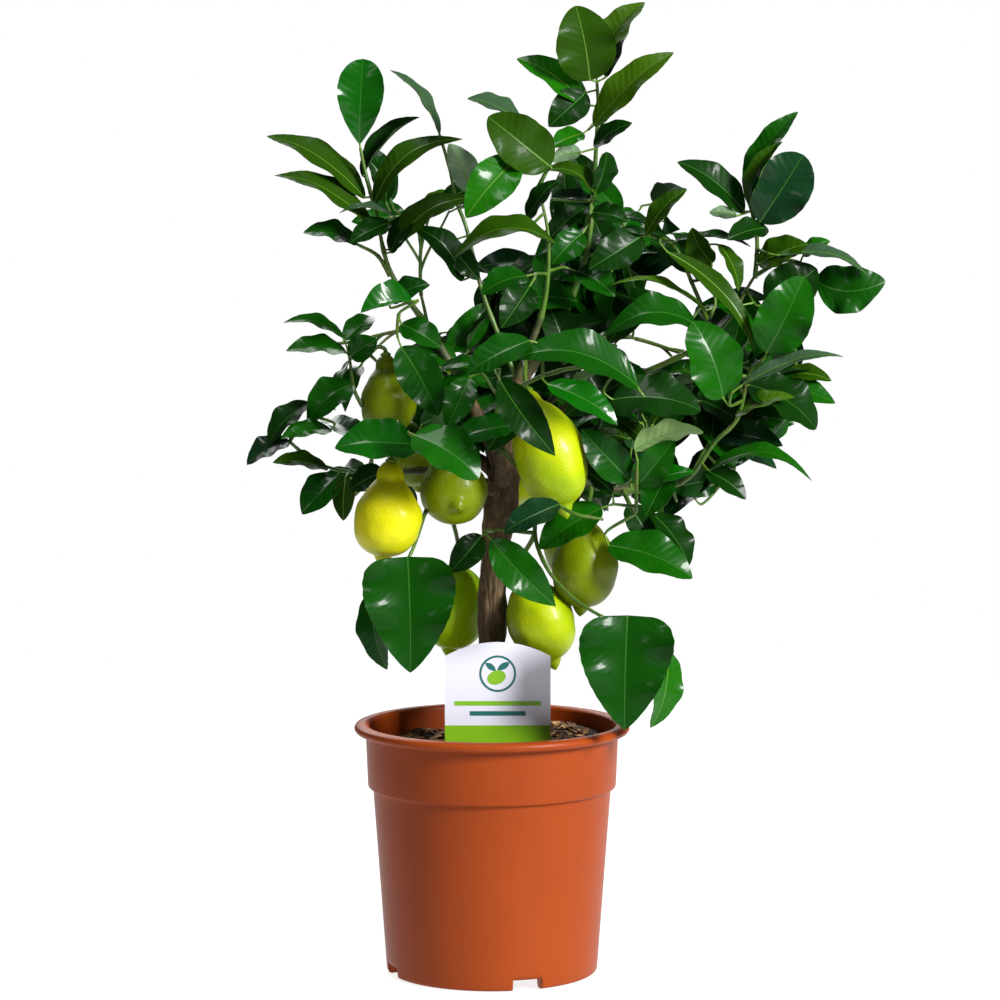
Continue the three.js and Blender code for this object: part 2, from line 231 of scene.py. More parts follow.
def young_bark_pattern(tree, shader):
    """Two-year wood: thin olive bark that greys in streaks."""
    place = node(tree, "ShaderNodeTexCoord")
    streak = node(tree, "ShaderNodeTexNoise", inputs={"Vector": place.outputs["Object"], "Scale": 120.0, "Detail": 4.0})
    skin = ramp(tree, streak.outputs["Fac"], [(0.35, "#29330f"), (0.55, "#3b431c"), (0.75, "#50482b")])
    tree.links.new(skin, shader.inputs["Base Color"])
    bump = node(tree, "ShaderNodeBump", inputs={"Strength": 0.6, "Distance": 0.5 * MM, "Height": streak.outputs["Fac"]})
    tree.links.new(bump.outputs["Normal"], shader.inputs["Normal"])


def shoot_pattern(tree, shader):
    """Green shoot skin that turns brown in patches, with fine ribs along it."""
    place = node(tree, "ShaderNodeTexCoord")
    patch = node(tree, "ShaderNodeTexNoise", inputs={"Vector": place.outputs["Object"], "Scale": 70.0, "Detail": 2.0})
    skin = ramp(tree, patch.outputs["Fac"], [(0.35, "#2f4f10"), (0.55, "#446419"), (0.75, "#4b4722")])
    tree.links.new(skin, shader.inputs["Base Color"])
    fine = node(tree, "ShaderNodeTexNoise", inputs={"Vector": place.outputs["Object"], "Scale": 700.0, "Detail": 2.0})
    bump = node(tree, "ShaderNodeBump", inputs={"Strength": 0.4, "Distance": 0.3 * MM, "Height": fine.outputs["Fac"]})
    tree.links.new(bump.outputs["Normal"], shader.inputs["Normal"])


def peel_pattern(low, middle, high):
    """Oil glands as shallow pores 1.3 mm apart, over slow changes in how ripe the peel is."""

    def pattern(tree, shader):
        place = node(tree, "ShaderNodeTexCoord")
        ripe = node(tree, "ShaderNodeTexNoise", inputs={"Vector": place.outputs["Object"], "Scale": 26.0, "Detail": 2.0})
        skin = ramp(tree, ripe.outputs["Fac"], [(0.32, low), (0.52, middle), (0.72, high)])
        tree.links.new(skin, shader.inputs["Base Color"])
        pores = node(
            tree, "ShaderNodeTexVoronoi", {"feature": "SMOOTH_F1"},
            {"Vector": place.outputs["Object"], "Scale": 1 / (1.6 * MM), "Smoothness": 0.6},
        )
        bump = node(
            tree, "ShaderNodeBump", inputs={"Strength": 0.5, "Distance": 0.4 * MM, "Height": pores.outputs["Distance"]}
        )
        tree.links.new(bump.outputs["Normal"], shader.inputs["Normal"])

    return pattern


def plastic_pattern(scale, dark, light, depth):
    """Satin moulded plastic: a faint cloud of colour and the fine grain of the mould."""

    def pattern(tree, shader):
        place = node(tree, "ShaderNodeTexCoord")
        cloud = node(tree, "ShaderNodeTexNoise", inputs={"Vector": place.outputs["Object"], "Scale": 9.0, "Detail": 3.0})
        skin = ramp(tree, cloud.outputs["Fac"], [(0.3, dark), (0.7, light)])
        tree.links.new(skin, shader.inputs["Base Color"])
        grain = node(tree, "ShaderNodeTexNoise", inputs={"Vector": place.outputs["Object"], "Scale": scale, "Detail": 2.0})
        rough = node(
            tree, "ShaderNodeMapRange", inputs={"Value": cloud.outputs["Fac"], "To Min": 0.36, "To Max": 0.46}
        )
        tree.links.new(rough.outputs["Result"], shader.inputs["Roughness"])
        bump = node(tree, "ShaderNodeBump", inputs={"Strength": 0.3, "Distance": depth * MM, "Height": grain.outputs["Fac"]})
        tree.links.new(bump.outputs["Normal"], shader.inputs["Normal"])

    return pattern


def soil_pattern(tree, shader):
    """Damp compost: near-black fines with brown crumbs about 3 mm across."""
    place = node(tree, "ShaderNodeTexCoord")
    crumbs = node(tree, "ShaderNodeTexVoronoi", inputs={"Vector": place.outputs["Object"], "Scale": 1 / (3 * MM)})
    fines = node(tree, "ShaderNodeTexNoise", inputs={"Vector": place.outputs["Object"], "Scale": 420.0, "Detail": 4.0})
    tint = ramp(tree, fines.outputs["Fac"], [(0.3, "#120b07"), (0.55, "#2c1b11"), (0.8, "#4a3322")])
    tree.links.new(tint, shader.inputs["Base Color"])
    bump = node(tree, "ShaderNodeBump", inputs={"Strength": 0.9, "Distance": 2 * MM, "Height": crumbs.outputs["Distance"]})
    tree.links.new(bump.outputs["Normal"], shader.inputs["Normal"])


def chip_pattern(low, high):
    """Composted bark: a fibrous break with streaks along the grain."""

    def pattern(tree, shader):
        place = node(tree, "ShaderNodeTexCoord")
        streaks = node(tree, "ShaderNodeTexNoise", inputs={"Vector": place.outputs["Object"], "Scale": 260.0, "Detail": 4.0})
        tint = ramp(tree, streaks.outputs["Fac"], [(0.3, low), (0.7, high)])
        tree.links.new(tint, shader.inputs["Base Color"])
        bump = node(tree, "ShaderNodeBump", inputs={"Strength": 0.7, "Distance": 0.6 * MM, "Height": streaks.outputs["Fac"]})
        tree.links.new(bump.outputs["Normal"], shader.inputs["Normal"])

    return pattern


cork_bark = material("citrus_bark_grown", {"Roughness": 0.88, "IOR": 1.45}, bark_pattern)
young_bark = material("young_citrus_bark_grown", {"Roughness": 0.6, "IOR": 1.45}, young_bark_pattern)
green_shoot = material("green_shoot_grown", {"Roughness": 0.42, "IOR": 1.44}, shoot_pattern)
petiole_skin = material("leaf_stalk_grown", {"Base Color": "#507418", "Roughness": 0.4, "IOR": 1.44})
# Lemon peel, grown: waxy and pitted, so that its highlight is soft and broken up.
peel_values = {"Roughness": 0.4, "IOR": 1.45, "Specular IOR Level": 0.18, "Coat Weight": 0.1, "Coat Roughness": 0.16}
PEELS = {
    "yellow": material("ripe_lemon_peel", peel_values, peel_pattern("#a2a604", "#b6b406", "#c0bb0a")),
    "turning": material("turning_lemon_peel", peel_values, peel_pattern("#768f00", "#8d9f00", "#a0aa00")),
    "green": material("green_lemon_peel", peel_values, peel_pattern("#80aa00", "#8fb600", "#9dbe00")),
    # The olive peel is a darker copy of the turning peel: painted shade, for the fruits that hang in the shade of
    # leaves.
    "olive": material("shaded_lemon_peel", peel_values, peel_pattern("#566800", "#657600", "#768500")),
}
# Polypropylene, injection moulded: satin, so that its highlights are broad.
pot_plastic = material(
    "terracotta_polypropylene_moulded", {"Roughness": 0.4, "IOR": 1.49, "Specular IOR Level": 0.15},
    plastic_pattern(900, "#82330a", "#8b390c", 0.05),
)
compost = material("potting_compost", {"Roughness": 0.95, "IOR": 1.4}, soil_pattern)
chip_finishes = [
    material("composted_bark_dark", {"Roughness": 0.85, "IOR": 1.4}, chip_pattern("#1d120b", "#3b2617")),
    material("composted_bark_brown", {"Roughness": 0.85, "IOR": 1.4}, chip_pattern("#452c1a", "#765232")),
    material("composted_bark_tan", {"Roughness": 0.8, "IOR": 1.4}, chip_pattern("#735234", "#b08759")),
    material("coir_fibre", {"Roughness": 0.8, "IOR": 1.4}, chip_pattern("#5d452c", "#9b7a50")),
]
# Polypropylene sheet, calendered and printed: white, with an even satin ink film.
label_sheet = material(
    "white_polypropylene_sheet", {"Roughness": 0.35, "IOR": 1.49}, plastic_pattern(1200, "#c4c4d0", "#c9c9d4", 0.02)
)
ink_finishes = {
    "lime": material("lime_ink_printed", {"Roughness": 0.32, "IOR": 1.49}, plastic_pattern(1200, "#6a9a0c", "#72a412", 0.02)),
    "teal": material("teal_ink_printed", {"Roughness": 0.32, "IOR": 1.49}, plastic_pattern(1200, "#0b5450", "#105c58", 0.02)),
    "white": material("white_ink_printed", {"Roughness": 0.32, "IOR": 1.49}, plastic_pattern(1200, "#c4c4d0", "#c9c9d4", 0.02)),
}


# ---------------------------------------------------------------- making meshes


class Pile:
    """Points, faces, finishes and unwrapping of one piece, gathered before it is made."""

    def __init__(self):
        self.points, self.faces, self.finish, self.unwrap, self.count = [], {3: [], 4: []}, {3: [], 4: []}, [], 0

    def add(self, points, faces, finish, unwrap=None):
        points = np.asarray(points, float).reshape(-1, 3)
        faces = np.asarray(faces, int)
        corners = faces.shape[1]
        self.points.append(points)
        self.faces[corners].append(faces + self.count)
        self.finish[corners].append(np.broadcast_to(finish, len(faces)).astype(int))
        self.unwrap.append(np.zeros((len(points), 2)) if unwrap is None else unwrap)
        self.count += len(points)

    def more_faces(self, faces, finish, back):
        """Faces on points that are already there; back is how many points ago they begin."""
        faces = np.asarray(faces, int)
        self.faces[faces.shape[1]].append(faces + self.count - back)
        self.finish[faces.shape[1]].append(np.broadcast_to(finish, len(faces)).astype(int))

    def make(self, name, finishes, smooth=True):
        mesh = bpy.data.meshes.new(name)
        points = np.concatenate(self.points) * MM
        corners, starts, finish, begin = [], [], [], 0
        for count in (4, 3):
            if not self.faces[count]:
                continue
            faces = np.concatenate(self.faces[count])
            corners.append(faces.ravel())
            starts.append(begin + np.arange(len(faces)) * count)
            finish.append(np.concatenate(self.finish[count]))
            begin += faces.size
        corners, starts, finish = (np.concatenate(part) for part in (corners, starts, finish))
        mesh.vertices.add(len(points))
        mesh.vertices.foreach_set("co", points.ravel())
        mesh.loops.add(len(corners))
        mesh.loops.foreach_set("vertex_index", corners)
        mesh.polygons.add(len(starts))
        mesh.polygons.foreach_set("loop_start", starts)
        mesh.polygons.foreach_set("material_index", finish)
        mesh.polygons.foreach_set("use_smooth", np.full(len(starts), smooth))
        layer = mesh.uv_layers.new(name="blade")
        layer.data.foreach_set("uv", np.concatenate(self.unwrap)[corners].ravel())
        mesh.update(calc_edges=True)
        mesh.validate()
        for one in finishes:
            mesh.materials.append(one)
        piece = bpy.data.objects.new(name, mesh)
        bpy.context.collection.objects.link(piece)
        return piece


def unit(vector):
    vector = np.asarray(vector, float)
    return vector / max(np.linalg.norm(vector), 1e-9)


def grid_faces(rows, columns, wrap=False):
    """The quads of a grid of points, row by row, closed round if wrap is true."""
    i = np.arange(rows - 1)[:, None]
    j = np.arange(columns if wrap else columns - 1)[None, :]
    k = (j + 1) % columns
    faces = np.stack([i * columns + j, i * columns + k, (i + 1) * columns + k, (i + 1) * columns + j], -1)
    return faces.reshape(-1, 4)


def smooth_path(route, count):
    """Points along a Catmull-Rom curve through a route, evenly spaced."""
    route = np.asarray(route, float)
    ends = np.vstack([2 * route[0] - route[1], route, 2 * route[-1] - route[-2]])
    t = np.linspace(0, 1, 24, endpoint=False)[:, None]
    parts = []
    for k in range(len(route) - 1):
        a, b, c, d = ends[k : k + 4]
        parts.append(
            0.5 * (2 * b + (c - a) * t + (2 * a - 5 * b + 4 * c - d) * t**2 + (3 * b - a - 3 * c + d) * t**3)
        )
    dense = np.vstack([*parts, route[-1:]])
    run = np.concatenate([[0], np.cumsum(np.linalg.norm(np.diff(dense, axis=0), axis=1))])
    at = np.linspace(0, run[-1], count)
    return np.stack([np.interp(at, run, dense[:, k]) for k in range(3)], 1)


def tube(pile, path, radii, sides, finish, relief=None):
    """A round limb with closed ends. relief gives a height from the turn and the place along."""
    path = np.asarray(path, float)
    count = len(path)
    tangents = np.gradient(path, axis=0)
    tangents /= np.linalg.norm(tangents, axis=1)[:, None]
    turn = np.arange(sides) * tau / sides
    way = unit(np.cross(tangents[0], (0.31, 0.87, 0.12)))
    rings = np.empty((count, sides, 3))
    run = np.concatenate([[0], np.cumsum(np.linalg.norm(np.diff(path, axis=0), axis=1))])
    for k in range(count):
        way = unit(way - np.dot(way, tangents[k]) * tangents[k])
        other = np.cross(tangents[k], way)
        out = np.outer(np.cos(turn), way) + np.outer(np.sin(turn), other)
        reach = np.full(sides, radii[k], float)
        if relief:
            reach += [relief(a, run[k], radii[k]) for a in turn]
        rings[k] = path[k] + out * reach[:, None]
    points = np.vstack([rings.reshape(-1, 3), path[:1], path[-1:]])
    by_ring = np.broadcast_to(finish, count)
    pile.add(points, grid_faces(count, sides, True), np.repeat(by_ring[:-1], sides))
    first, last = count * sides, count * sides + 1
    ring = np.arange(sides)
    after = (ring + 1) % sides
    low = np.stack([np.full(sides, first), after, ring], 1)
    high = np.stack([np.full(sides, last), ring + (count - 1) * sides, after + (count - 1) * sides], 1)
    pile.more_faces(np.vstack([low, high]), np.repeat(by_ring[[0, -1]], sides), len(points))


def behind(across, up, depth):
    """The point at a depth that the viewer sees at this place of the upright plane through the trunk."""
    mark = np.array((across, 0.0, up))
    return EYE + (mark - EYE) * (depth - EYE[1]) / (mark[1] - EYE[1])


def seen_at(points):
    """Where the viewer sees points, as places on the upright plane through the trunk."""
    points = np.atleast_2d(points)
    shrink = (0 - EYE[1]) / (points[:, 1] - EYE[1])
    return EYE[[0, 2]] + (points[:, [0, 2]] - EYE[[0, 2]]) * shrink[:, None]


# ---------------------------------------------------------------- leaves

# How a blade is shaped: how fast it widens from its foot and narrows to its point (less is
# blunter), then its fold, cup, arch, drooping point, wavy margin and sideways sweep, as
# parts of its own width or length.
FORMS = {
    "plain": dict(foot=0.62, point=0.78, fold=0.16, cup=0.1, arch=0.07, droop=0.05, wave=0.05, sweep=0.02),
    "blunt": dict(foot=0.6, point=0.52, fold=0.1, cup=0.12, arch=0.05, droop=0.02, wave=0.05, sweep=0.01),
    "spoon": dict(foot=0.95, point=0.5, fold=0.16, cup=0.14, arch=0.05, droop=0.02, wave=0.04, sweep=0.01),
    "broad": dict(foot=0.5, point=0.62, fold=0.1, cup=0.12, arch=0.08, droop=0.05, wave=0.07, sweep=0.02),
    "long": dict(foot=0.75, point=0.95, fold=0.22, cup=0.06, arch=0.09, droop=0.1, wave=0.06, sweep=0.04),
    "arched": dict(foot=0.66, point=0.85, fold=0.2, cup=0.08, arch=0.2, droop=0.12, wave=0.06, sweep=0.03),
    "folded": dict(foot=0.62, point=0.75, fold=0.75, cup=0.04, arch=0.06, droop=0.06, wave=0.04, sweep=0.02),
    "square": dict(foot=0.27, point=0.82, fold=0.16, cup=0.1, arch=0.05, droop=-0.02, wave=0.1, sweep=0.01),
    "swept": dict(foot=0.62, point=0.8, fold=0.2, cup=0.1, arch=0.1, droop=0.08, wave=0.05, sweep=0.08),
    "sagged": dict(foot=0.6, point=0.72, fold=0.12, cup=0.1, arch=0.08, droop=0.06, wave=0.11, sweep=0.17, sway=1),
}
THICKNESS = 0.4
VEIN_SPACING = 7.0


def leaf(pile, base, tip, width, facing, tone, form, rows=28, half=6, luck=0.5):
    """One blade, as a thin closed solid with a midrib, between its foot and its point."""
    shape = FORMS[form]
    base, tip = np.asarray(base, float), np.asarray(tip, float)
    length = np.linalg.norm(tip - base)
    along = (tip - base) / length
    side = unit(np.cross(along, facing))
    up = np.cross(side, along)
    even = np.linspace(0, 1, rows + 1)
    t = 0.55 * even + 0.45 * (1 - np.cos(pi * even)) / 2
    peak = shape["foot"] / (shape["foot"] + shape["point"])
    most = peak ** shape["foot"] * (1 - peak) ** shape["point"]
    half_width = width / 2 * (t ** shape["foot"] * (1 - t) ** shape["point"]) / most
    # Shallow rounded teeth along the margin, and never quite nothing at the two ends.
    half_width *= 1 + 0.008 * np.sin(t * length / 9 * tau + luck * 9)
    half_width = np.maximum(half_width, 0.35)
    rib = np.minimum(half_width * 0.6, 0.6 - 0.4 * t)
    steps = np.linspace(0, 1, half + 1)
    out = rib[:, None] + (half_width - rib)[:, None] * steps[None, :]
    across = np.concatenate([-out[:, ::-1], out], axis=1)
    share = np.abs(across) / (width / 2)
    row = t[:, None]
    swing = np.sin(tau * (row * 2.4 + luck) + np.sign(across) * 1.1)
    lift = shape["fold"] * np.abs(across) + shape["cup"] * width / 2 * share**2
    lift = lift + shape["wave"] * width * share**2 * swing
    # Between its side veins a blade is quilted; only closely spaced rows can hold that.
    if rows > 30:
        swell = np.sin(tau * (row * length - 0.62 * np.abs(across)) / VEIN_SPACING + 2 * luck)
        lift = lift + 0.16 * swell * np.clip(3 * share, 0, 1) * (1 - share**4)
    lift = lift + length * (shape["arch"] * 4 * row * (1 - row) - shape["droop"] * np.maximum(0, row - 0.55) ** 2 / 0.2)
    aside = across + length * shape["sweep"] * 4 * row * (1 - row) * shape.get("sway", 1 if luck > 0.5 else -1)
    # Folded blades keep their real width, so their halves draw in towards the midrib.
    aside = aside * cos(atan(shape["fold"]))
    centre = base + row[..., None] * (tip - base)
    upper = centre + aside[..., None] * side + lift[..., None] * up
    under = upper - THICKNESS * up
    columns = 2 * (half + 1)
    strips = np.tile(np.arange(columns - 1), rows)
    tone_index = TONES.index(tone)
    rib_index = MIDRIB if tone in PALE_RIBS else MIDRIB + 1
    middle = strips == half
    faces = grid_faces(rows + 1, columns)
    unwrap = np.stack([across / 10, np.broadcast_to(row * length / 10, across.shape)], -1).reshape(-1, 2)
    pile.add(upper, faces, np.where(middle, rib_index, tone_index), unwrap)
    pile.add(under, faces[:, ::-1], np.where(middle, rib_index, tone_index + len(TONES)), unwrap)
    # The cut edge has points of its own, so that both faces keep their own shading.
    ids = np.arange((rows + 1) * columns).reshape(rows + 1, columns)
    loop = np.concatenate([ids[0, :-1], ids[:-1, -1], ids[-1, :0:-1], ids[:0:-1, 0]])
    flat_upper, flat_under = upper.reshape(-1, 3)[loop], under.reshape(-1, 3)[loop]
    count = len(loop)
    ring = np.arange(count)
    after = (ring + 1) % count
    edge = np.stack([ring, ring + count, after + count, after], 1)
    pile.add(np.vstack([flat_upper, flat_under]), edge, tone_index, np.tile(unwrap[loop], (2, 1)))


WAYS = {
    "front": (0, -1, 0.25),
    "half": (0, -0.8, 0.8),
    "up": (0, -0.55, 1),
    "level": (0, -0.22, 1),
    "left": (-0.8, -0.75, 0.4),
    "right": (0.8, -0.75, 0.4),
    "edge_left": (-1, -0.3, 0.3),
    "edge_right": (1, -0.3, 0.3),
    "away": (0.1, 0.85, 0.5),
    "under": (0.2, 0.5, 0.85),
}

# The leaves that make the outline and the front of the crown, bough by bough. Each has its
# foot and its point as seen from the front (across, up), their depths, its width, the way
# its upper side faces, its tone and its form.
PLACED = {
    "upper_left": [
        ((-104, 659), (-101, 726), (-12, -20), 37, "front", "glossy", "spoon"),
        ((-102, 634), (-59, 683), (-4, 10), 22, "left", "dark", "folded"),
        ((-100, 617), (-175, 669), (-8, -2), 31, "up", "olive", "plain"),
        ((-95, 597), (-167, 641), (-14, -20), 30, "up", "olive", "long"),
        ((-93, 611), (-28, 668), (-10, -16), 23, "half", "olive", "arched"),
        ((-41, 667), (-77, 719), (-12, -14), 24, "edge_right", "grey", "plain"),
        ((-76, 602), (-119, 610), (-16, -28), 20, "level", "grey", "long"),
        ((-80, 598), (-112, 583), (-18, -34), 22, "half", "dark", "plain"),
        ((-106, 581), (-148, 592), (-6, -12), 30, "up", "mid", "plain"),
        ((-77, 577), (-17, 622), (-10, -22), 25, "half", "olive", "arched"),
        ((-80, 574), (-57, 608), (-14, -20), 24, "left", "dark", "plain"),
        ((-23, 552), (-61, 596), (-22, -28), 25, "half", "dark", "swept"),
        ((-34, 582), (-10, 553), (-18, -26), 20, "front", "dark", "plain"),
        ((-63, 536), (-103, 529), (-40, -62), 32, "half", "glossy", "folded"),
        ((-81, 536), (-50, 550), (-24, -32), 24, "half", "deep", "plain"),
        ((-72, 518), (-40, 500), (-40, -56), 26, "half", "deep", "plain"),
    ],
    "leader": [
        ((77, 709), (66, 767), (-24, -36), 47, "front", "olive", "broad"),
        ((82, 724), (118, 772), (-20, -10), 33, "left", "young", "plain"),
        ((90, 712), (107, 757), (-8, 6), 24, "left", "dark", "plain"),
        ((80, 674), (140, 733), (-28, -44), 33, "left", "young", "plain"),
        ((74, 690), (21, 728), (-14, -18), 30, "half", "bright", "plain"),
        ((74, 700), (45, 674), (-16, -30), 28, "front", "dark", "plain"),
        ((80, 658), (109, 677), (-18, -30), 20, "half", "dark", "plain"),
        ((72, 668), (47, 658), (-22, -38), 20, "half", "bright", "plain"),
        ((70, 653), (47, 647), (-16, -28), 18, "away", "grey", "plain"),
        ((80, 619), (91, 653), (-24, -34), 26, "right", "dark", "blunt"),
        ((83, 616), (41, 643), (-26, -36), 24, "up", "olive", "arched"),
        ((78, 606), (107, 600), (-20, -36), 22, "half", "dark", "plain"),
        ((72, 590), (48, 566), (-30, -44), 24, "front", "deep", "plain"),
        ((66, 560), (97, 541), (-24, -40), 28, "half", "deep", "plain"),
    ],
    "centre": [
        ((46, 642), (-2, 681), (-60, -72), 41, "front", "olive", "broad"),
        ((24, 676), (-18, 697), (-50, -58), 28, "up", "grey", "plain"),
        ((-17, 622), (-33, 660), (-58, -56), 24, "away", "grey", "plain"),
        ((20, 648), (-20, 603), (-66, -90), 35, "front", "bright", "plain"),
        ((50, 582), (-30, 578), (-60, -84), 32, "up", "olive", "arched"),
        ((28, 600), (52, 632), (-56, -64), 20, "left", "dark", "plain"),
        ((28, 556), (-8, 543), (-60, -80), 26, "half", "deep", "plain"),
        ((30, 548), (8, 516), (-70, -92), 28, "front", "dark", "plain"),
    ],
    "mid_left": [
        ((-117, 507), (-163, 523), (0, -6), 18, "up", "mid", "long"),
        ((-115, 496), (-162, 499), (-4, -18), 28, "up", "mid", "plain"),
        ((-112, 492), (-91, 506), (-6, -14), 22, "front", "mid", "plain"),
        ((-110, 470), (-147, 441), (0, -16), 32, "half", "mid", "arched"),
        ((-72, 500), (-42, 446), (-60, -76), 34, "front", "deep", "plain"),
        ((-18, 476), (-36, 436), (-72, -90), 24, "front", "mid", "plain"),
    ],
    "low_left": [
        ((-144, 456), (-178, 424), (-4, -16), 28, "left", "dark", "plain"),
        ((-160, 425), (-195, 408), (-6, -12), 28, "up", "blue", "plain"),
        ((-127, 434), (-167, 429), (-14, -30), 24, "up", "mid", "plain"),
        ((-130, 403), (-173, 410), (-10, -24), 24, "up", "olive", "plain"),
        ((-122, 398), (-151, 368), (-14, -30), 30, "half", "glossy", "plain"),
        ((-116, 397), (-118, 362), (-22, -30), 18, "front", "olive", "plain"),
        ((-58, 422), (-124, 422), (-70, -84), 42, "half", "glossy", "plain"),
        ((-85, 401), (-113, 387), (-30, -44), 22, "front", "dark", "plain"),
        ((-67, 333), (-65, 240), (-86, -92), 73, "front", "deep", "square"),
        ((-97, 304), (-86, 242), (-62, -70), 30, "left", "deep", "plain"),
    ],
    "front": [
        ((116, 468), (20, 496), (-128, -146), 40, "half", "deep", "swept"),
        ((6, 474), (50, 415), (-128, -146), 30, "front", "dark", "long"),
        ((-62, 430), (-10, 397), (-110, -126), 41, "half", "mid", "broad"),
        ((44, 470), (100, 440), (-150, -160), 26, "half", "glossy", "plain"),
        ((-8, 350), (-33, 321), (-40, -52), 24, "front", "dark", "plain"),
        ((54, 375), (9, 353), (-96, -104), 26, "half", "blue", "plain"),
        ((87, 372), (37, 341), (-58, -70), 34, "half", "mid", "plain"),
        ((-1, 347), (51, 294), (-86, -96), 32, "front", "mid", "long"),
        ((18, 438), (-32, 426), (-84, -98), 26, "half", "glossy", "plain"),
        ((20, 452), (-4, 418), (-70, -84), 24, "front", "dark", "plain"),
        ((14, 446), (28, 410), (-60, -70), 22, "right", "deep", "plain"),
        ((30, 505), (-20, 480), (-138, -150), 30, "half", "deep", "plain"),
    ],
    "low_right": [
        ((95, 458), (165, 452), (-96, -110), 43, "half", "dark", "broad"),
        ((113, 418), (167, 435), (-90, -104), 30, "under", "young", "broad"),
        ((183, 459), (160, 520), (-60, -66), 46, "half", "mid", "broad"),
        ((203, 470), (258, 437), (-20, -34), 46, "right", "dark", "broad"),
        ((197, 469), (276, 499), (-66, -58), 16, "up", "grey", "long"),
        ((193, 445), (238, 462), (-34, -44), 22, "up", "young", "plain"),
        ((172, 401), (253, 402), (-28, -40), 20, "up", "mid", "arched"),
        ((169, 402), (202, 380), (-24, -34), 22, "half", "dark", "plain"),
        ((92, 342), (160, 318), (-48, -60), 40, "half", "mid", "plain"),
        ((128, 367), (158, 327), (-10, -20), 34, "right", "dark", "broad"),
        ((108, 374), (128, 340), (-6, -16), 26, "half", "dark", "plain"),
        ((108, 286), (106, 194), (-84, -92), 74, "front", "deep", "square"),
        ((140, 258), (129, 195), (-64, -70), 30, "right", "bright", "plain"),
        ((140, 400), (122, 366), (-60, -72), 26, "half", "deep", "plain"),
        ((109, 394), (72, 434), (-72, -86), 30, "front", "deep", "plain"),
        ((114, 388), (144, 426), (-74, -86), 27, "front", "mid", "plain"),
        ((121, 392), (160, 402), (-64, -74), 17, "half", "glossy", "plain"),
        ((96, 384), (74, 402), (-58, -66), 22, "half", "dark", "plain"),
    ],
    "upper_right": [
        ((122, 589), (152, 625), (-30, -36), 21, "left", "olive", "plain"),
        ((119, 588), (77, 562), (-26, -44), 30, "front", "dark", "plain"),
        ((143, 583), (85, 588), (-18, -24), 22, "level", "dark", "plain"),
        ((143, 583), (204, 582), (-20, -26), 22, "level", "dark", "plain"),
        ((174, 566), (157, 593), (-30, -36), 24, "left", "olive", "plain"),
        ((138, 575), (211, 502), (-46, -66), 18, "half", "olive", "long"),
        ((179, 581), (196, 545), (-24, -34), 20, "right", "olive", "plain"),
        ((169, 528), (97, 556), (-40, -48), 20, "level", "young", "long"),
        ((163, 516), (91, 515), (-50, -66), 34, "half", "deep", "arched"),
        ((199, 606), (148, 647), (-8, -18), 30, "half", "dark", "plain"),
        ((199, 624), (238, 686), (-4, -14), 27, "left", "mid", "plain"),
        ((203, 612), (226, 662), (-16, -26), 22, "left", "olive", "folded"),
        ((211, 598), (245, 651), (-20, -30), 46, "front", "blue", "blunt"),
        ((193, 603), (171, 607), (-16, -26), 12, "away", "grey", "plain"),
        ((217, 594), (186, 586), (-18, -36), 24, "half", "dark", "plain"),
        ((210, 565), (248, 582), (-8, -18), 30, "half", "olive", "plain"),
        ((245, 572), (266, 584), (-2, -8), 16, "half", "bright", "plain"),
        ((226, 572), (298, 562), (-20, -26), 18, "up", "grey", "long"),
        ((218, 533), (256, 562), (-10, -14), 40, "front", "dark", "broad"),
        ((256, 552), (310, 552), (-2, -18), 40, "front", "deep", "sagged"),
        ((217, 495), (246, 555), (-62, -72), 43, "front", "mid", "broad"),
    ],
}

# ---------------------------------------------------------------- trunk, boughs and shoots

SOIL_TOP = 180
TRUNK_ROUTE = [(0, 0, 176), (0, 0, 240), (1, 0, 320), (6, 0, 365), (9, 1, 400), (10, 2, 428)]
# Each bough's route starts inside the trunk; its two radii are those of its ends.
BOUGHS = {
    "leader": ([(9, 2, 415), (24, 6, 470), (52, 6, 515), (74, 4, 570), (80, 2, 622)], 7.5, 3.6),
    "upper_left": ([(8, 0, 408), (-22, -6, 468), (-50, -8, 515), (-80, -8, 560), (-92, -9, 612)], 7, 2.8),
    "centre": ([(9, -3, 418), (20, -28, 475), (40, -40, 532), (44, -44, 585), (36, -48, 628)], 5.8, 2.3),
    "mid_left": ([(7, 5, 398), (-32, 12, 422), (-78, 12, 432), (-106, 6, 458), (-113, 2, 492)], 6, 2.6),
    "low_left": ([(6, -3, 386), (-38, -14, 402), (-80, -14, 402), (-116, -8, 402), (-140, -4, 408)], 6, 2.6),
    "low_right": ([(9, 3, 402), (52, 4, 396), (104, 2, 386), (150, 0, 392), (172, -2, 424)], 6.8, 3),
    "upper_right": ([(10, 5, 416), (52, 16, 446), (112, 18, 474), (176, 10, 508), (208, 4, 556)], 6.2, 2.8),
    "front": ([(8, -3, 392), (6, -42, 424), (4, -78, 452), (6, -102, 488)], 6, 2.8),
    "back_left": ([(6, 6, 410), (-18, 46, 446), (-44, 84, 484), (-58, 104, 536)], 6.4, 2.8),
    "back_right": ([(11, 6, 404), (38, 48, 442), (74, 86, 482), (96, 108, 532)], 6.4, 2.8),
}
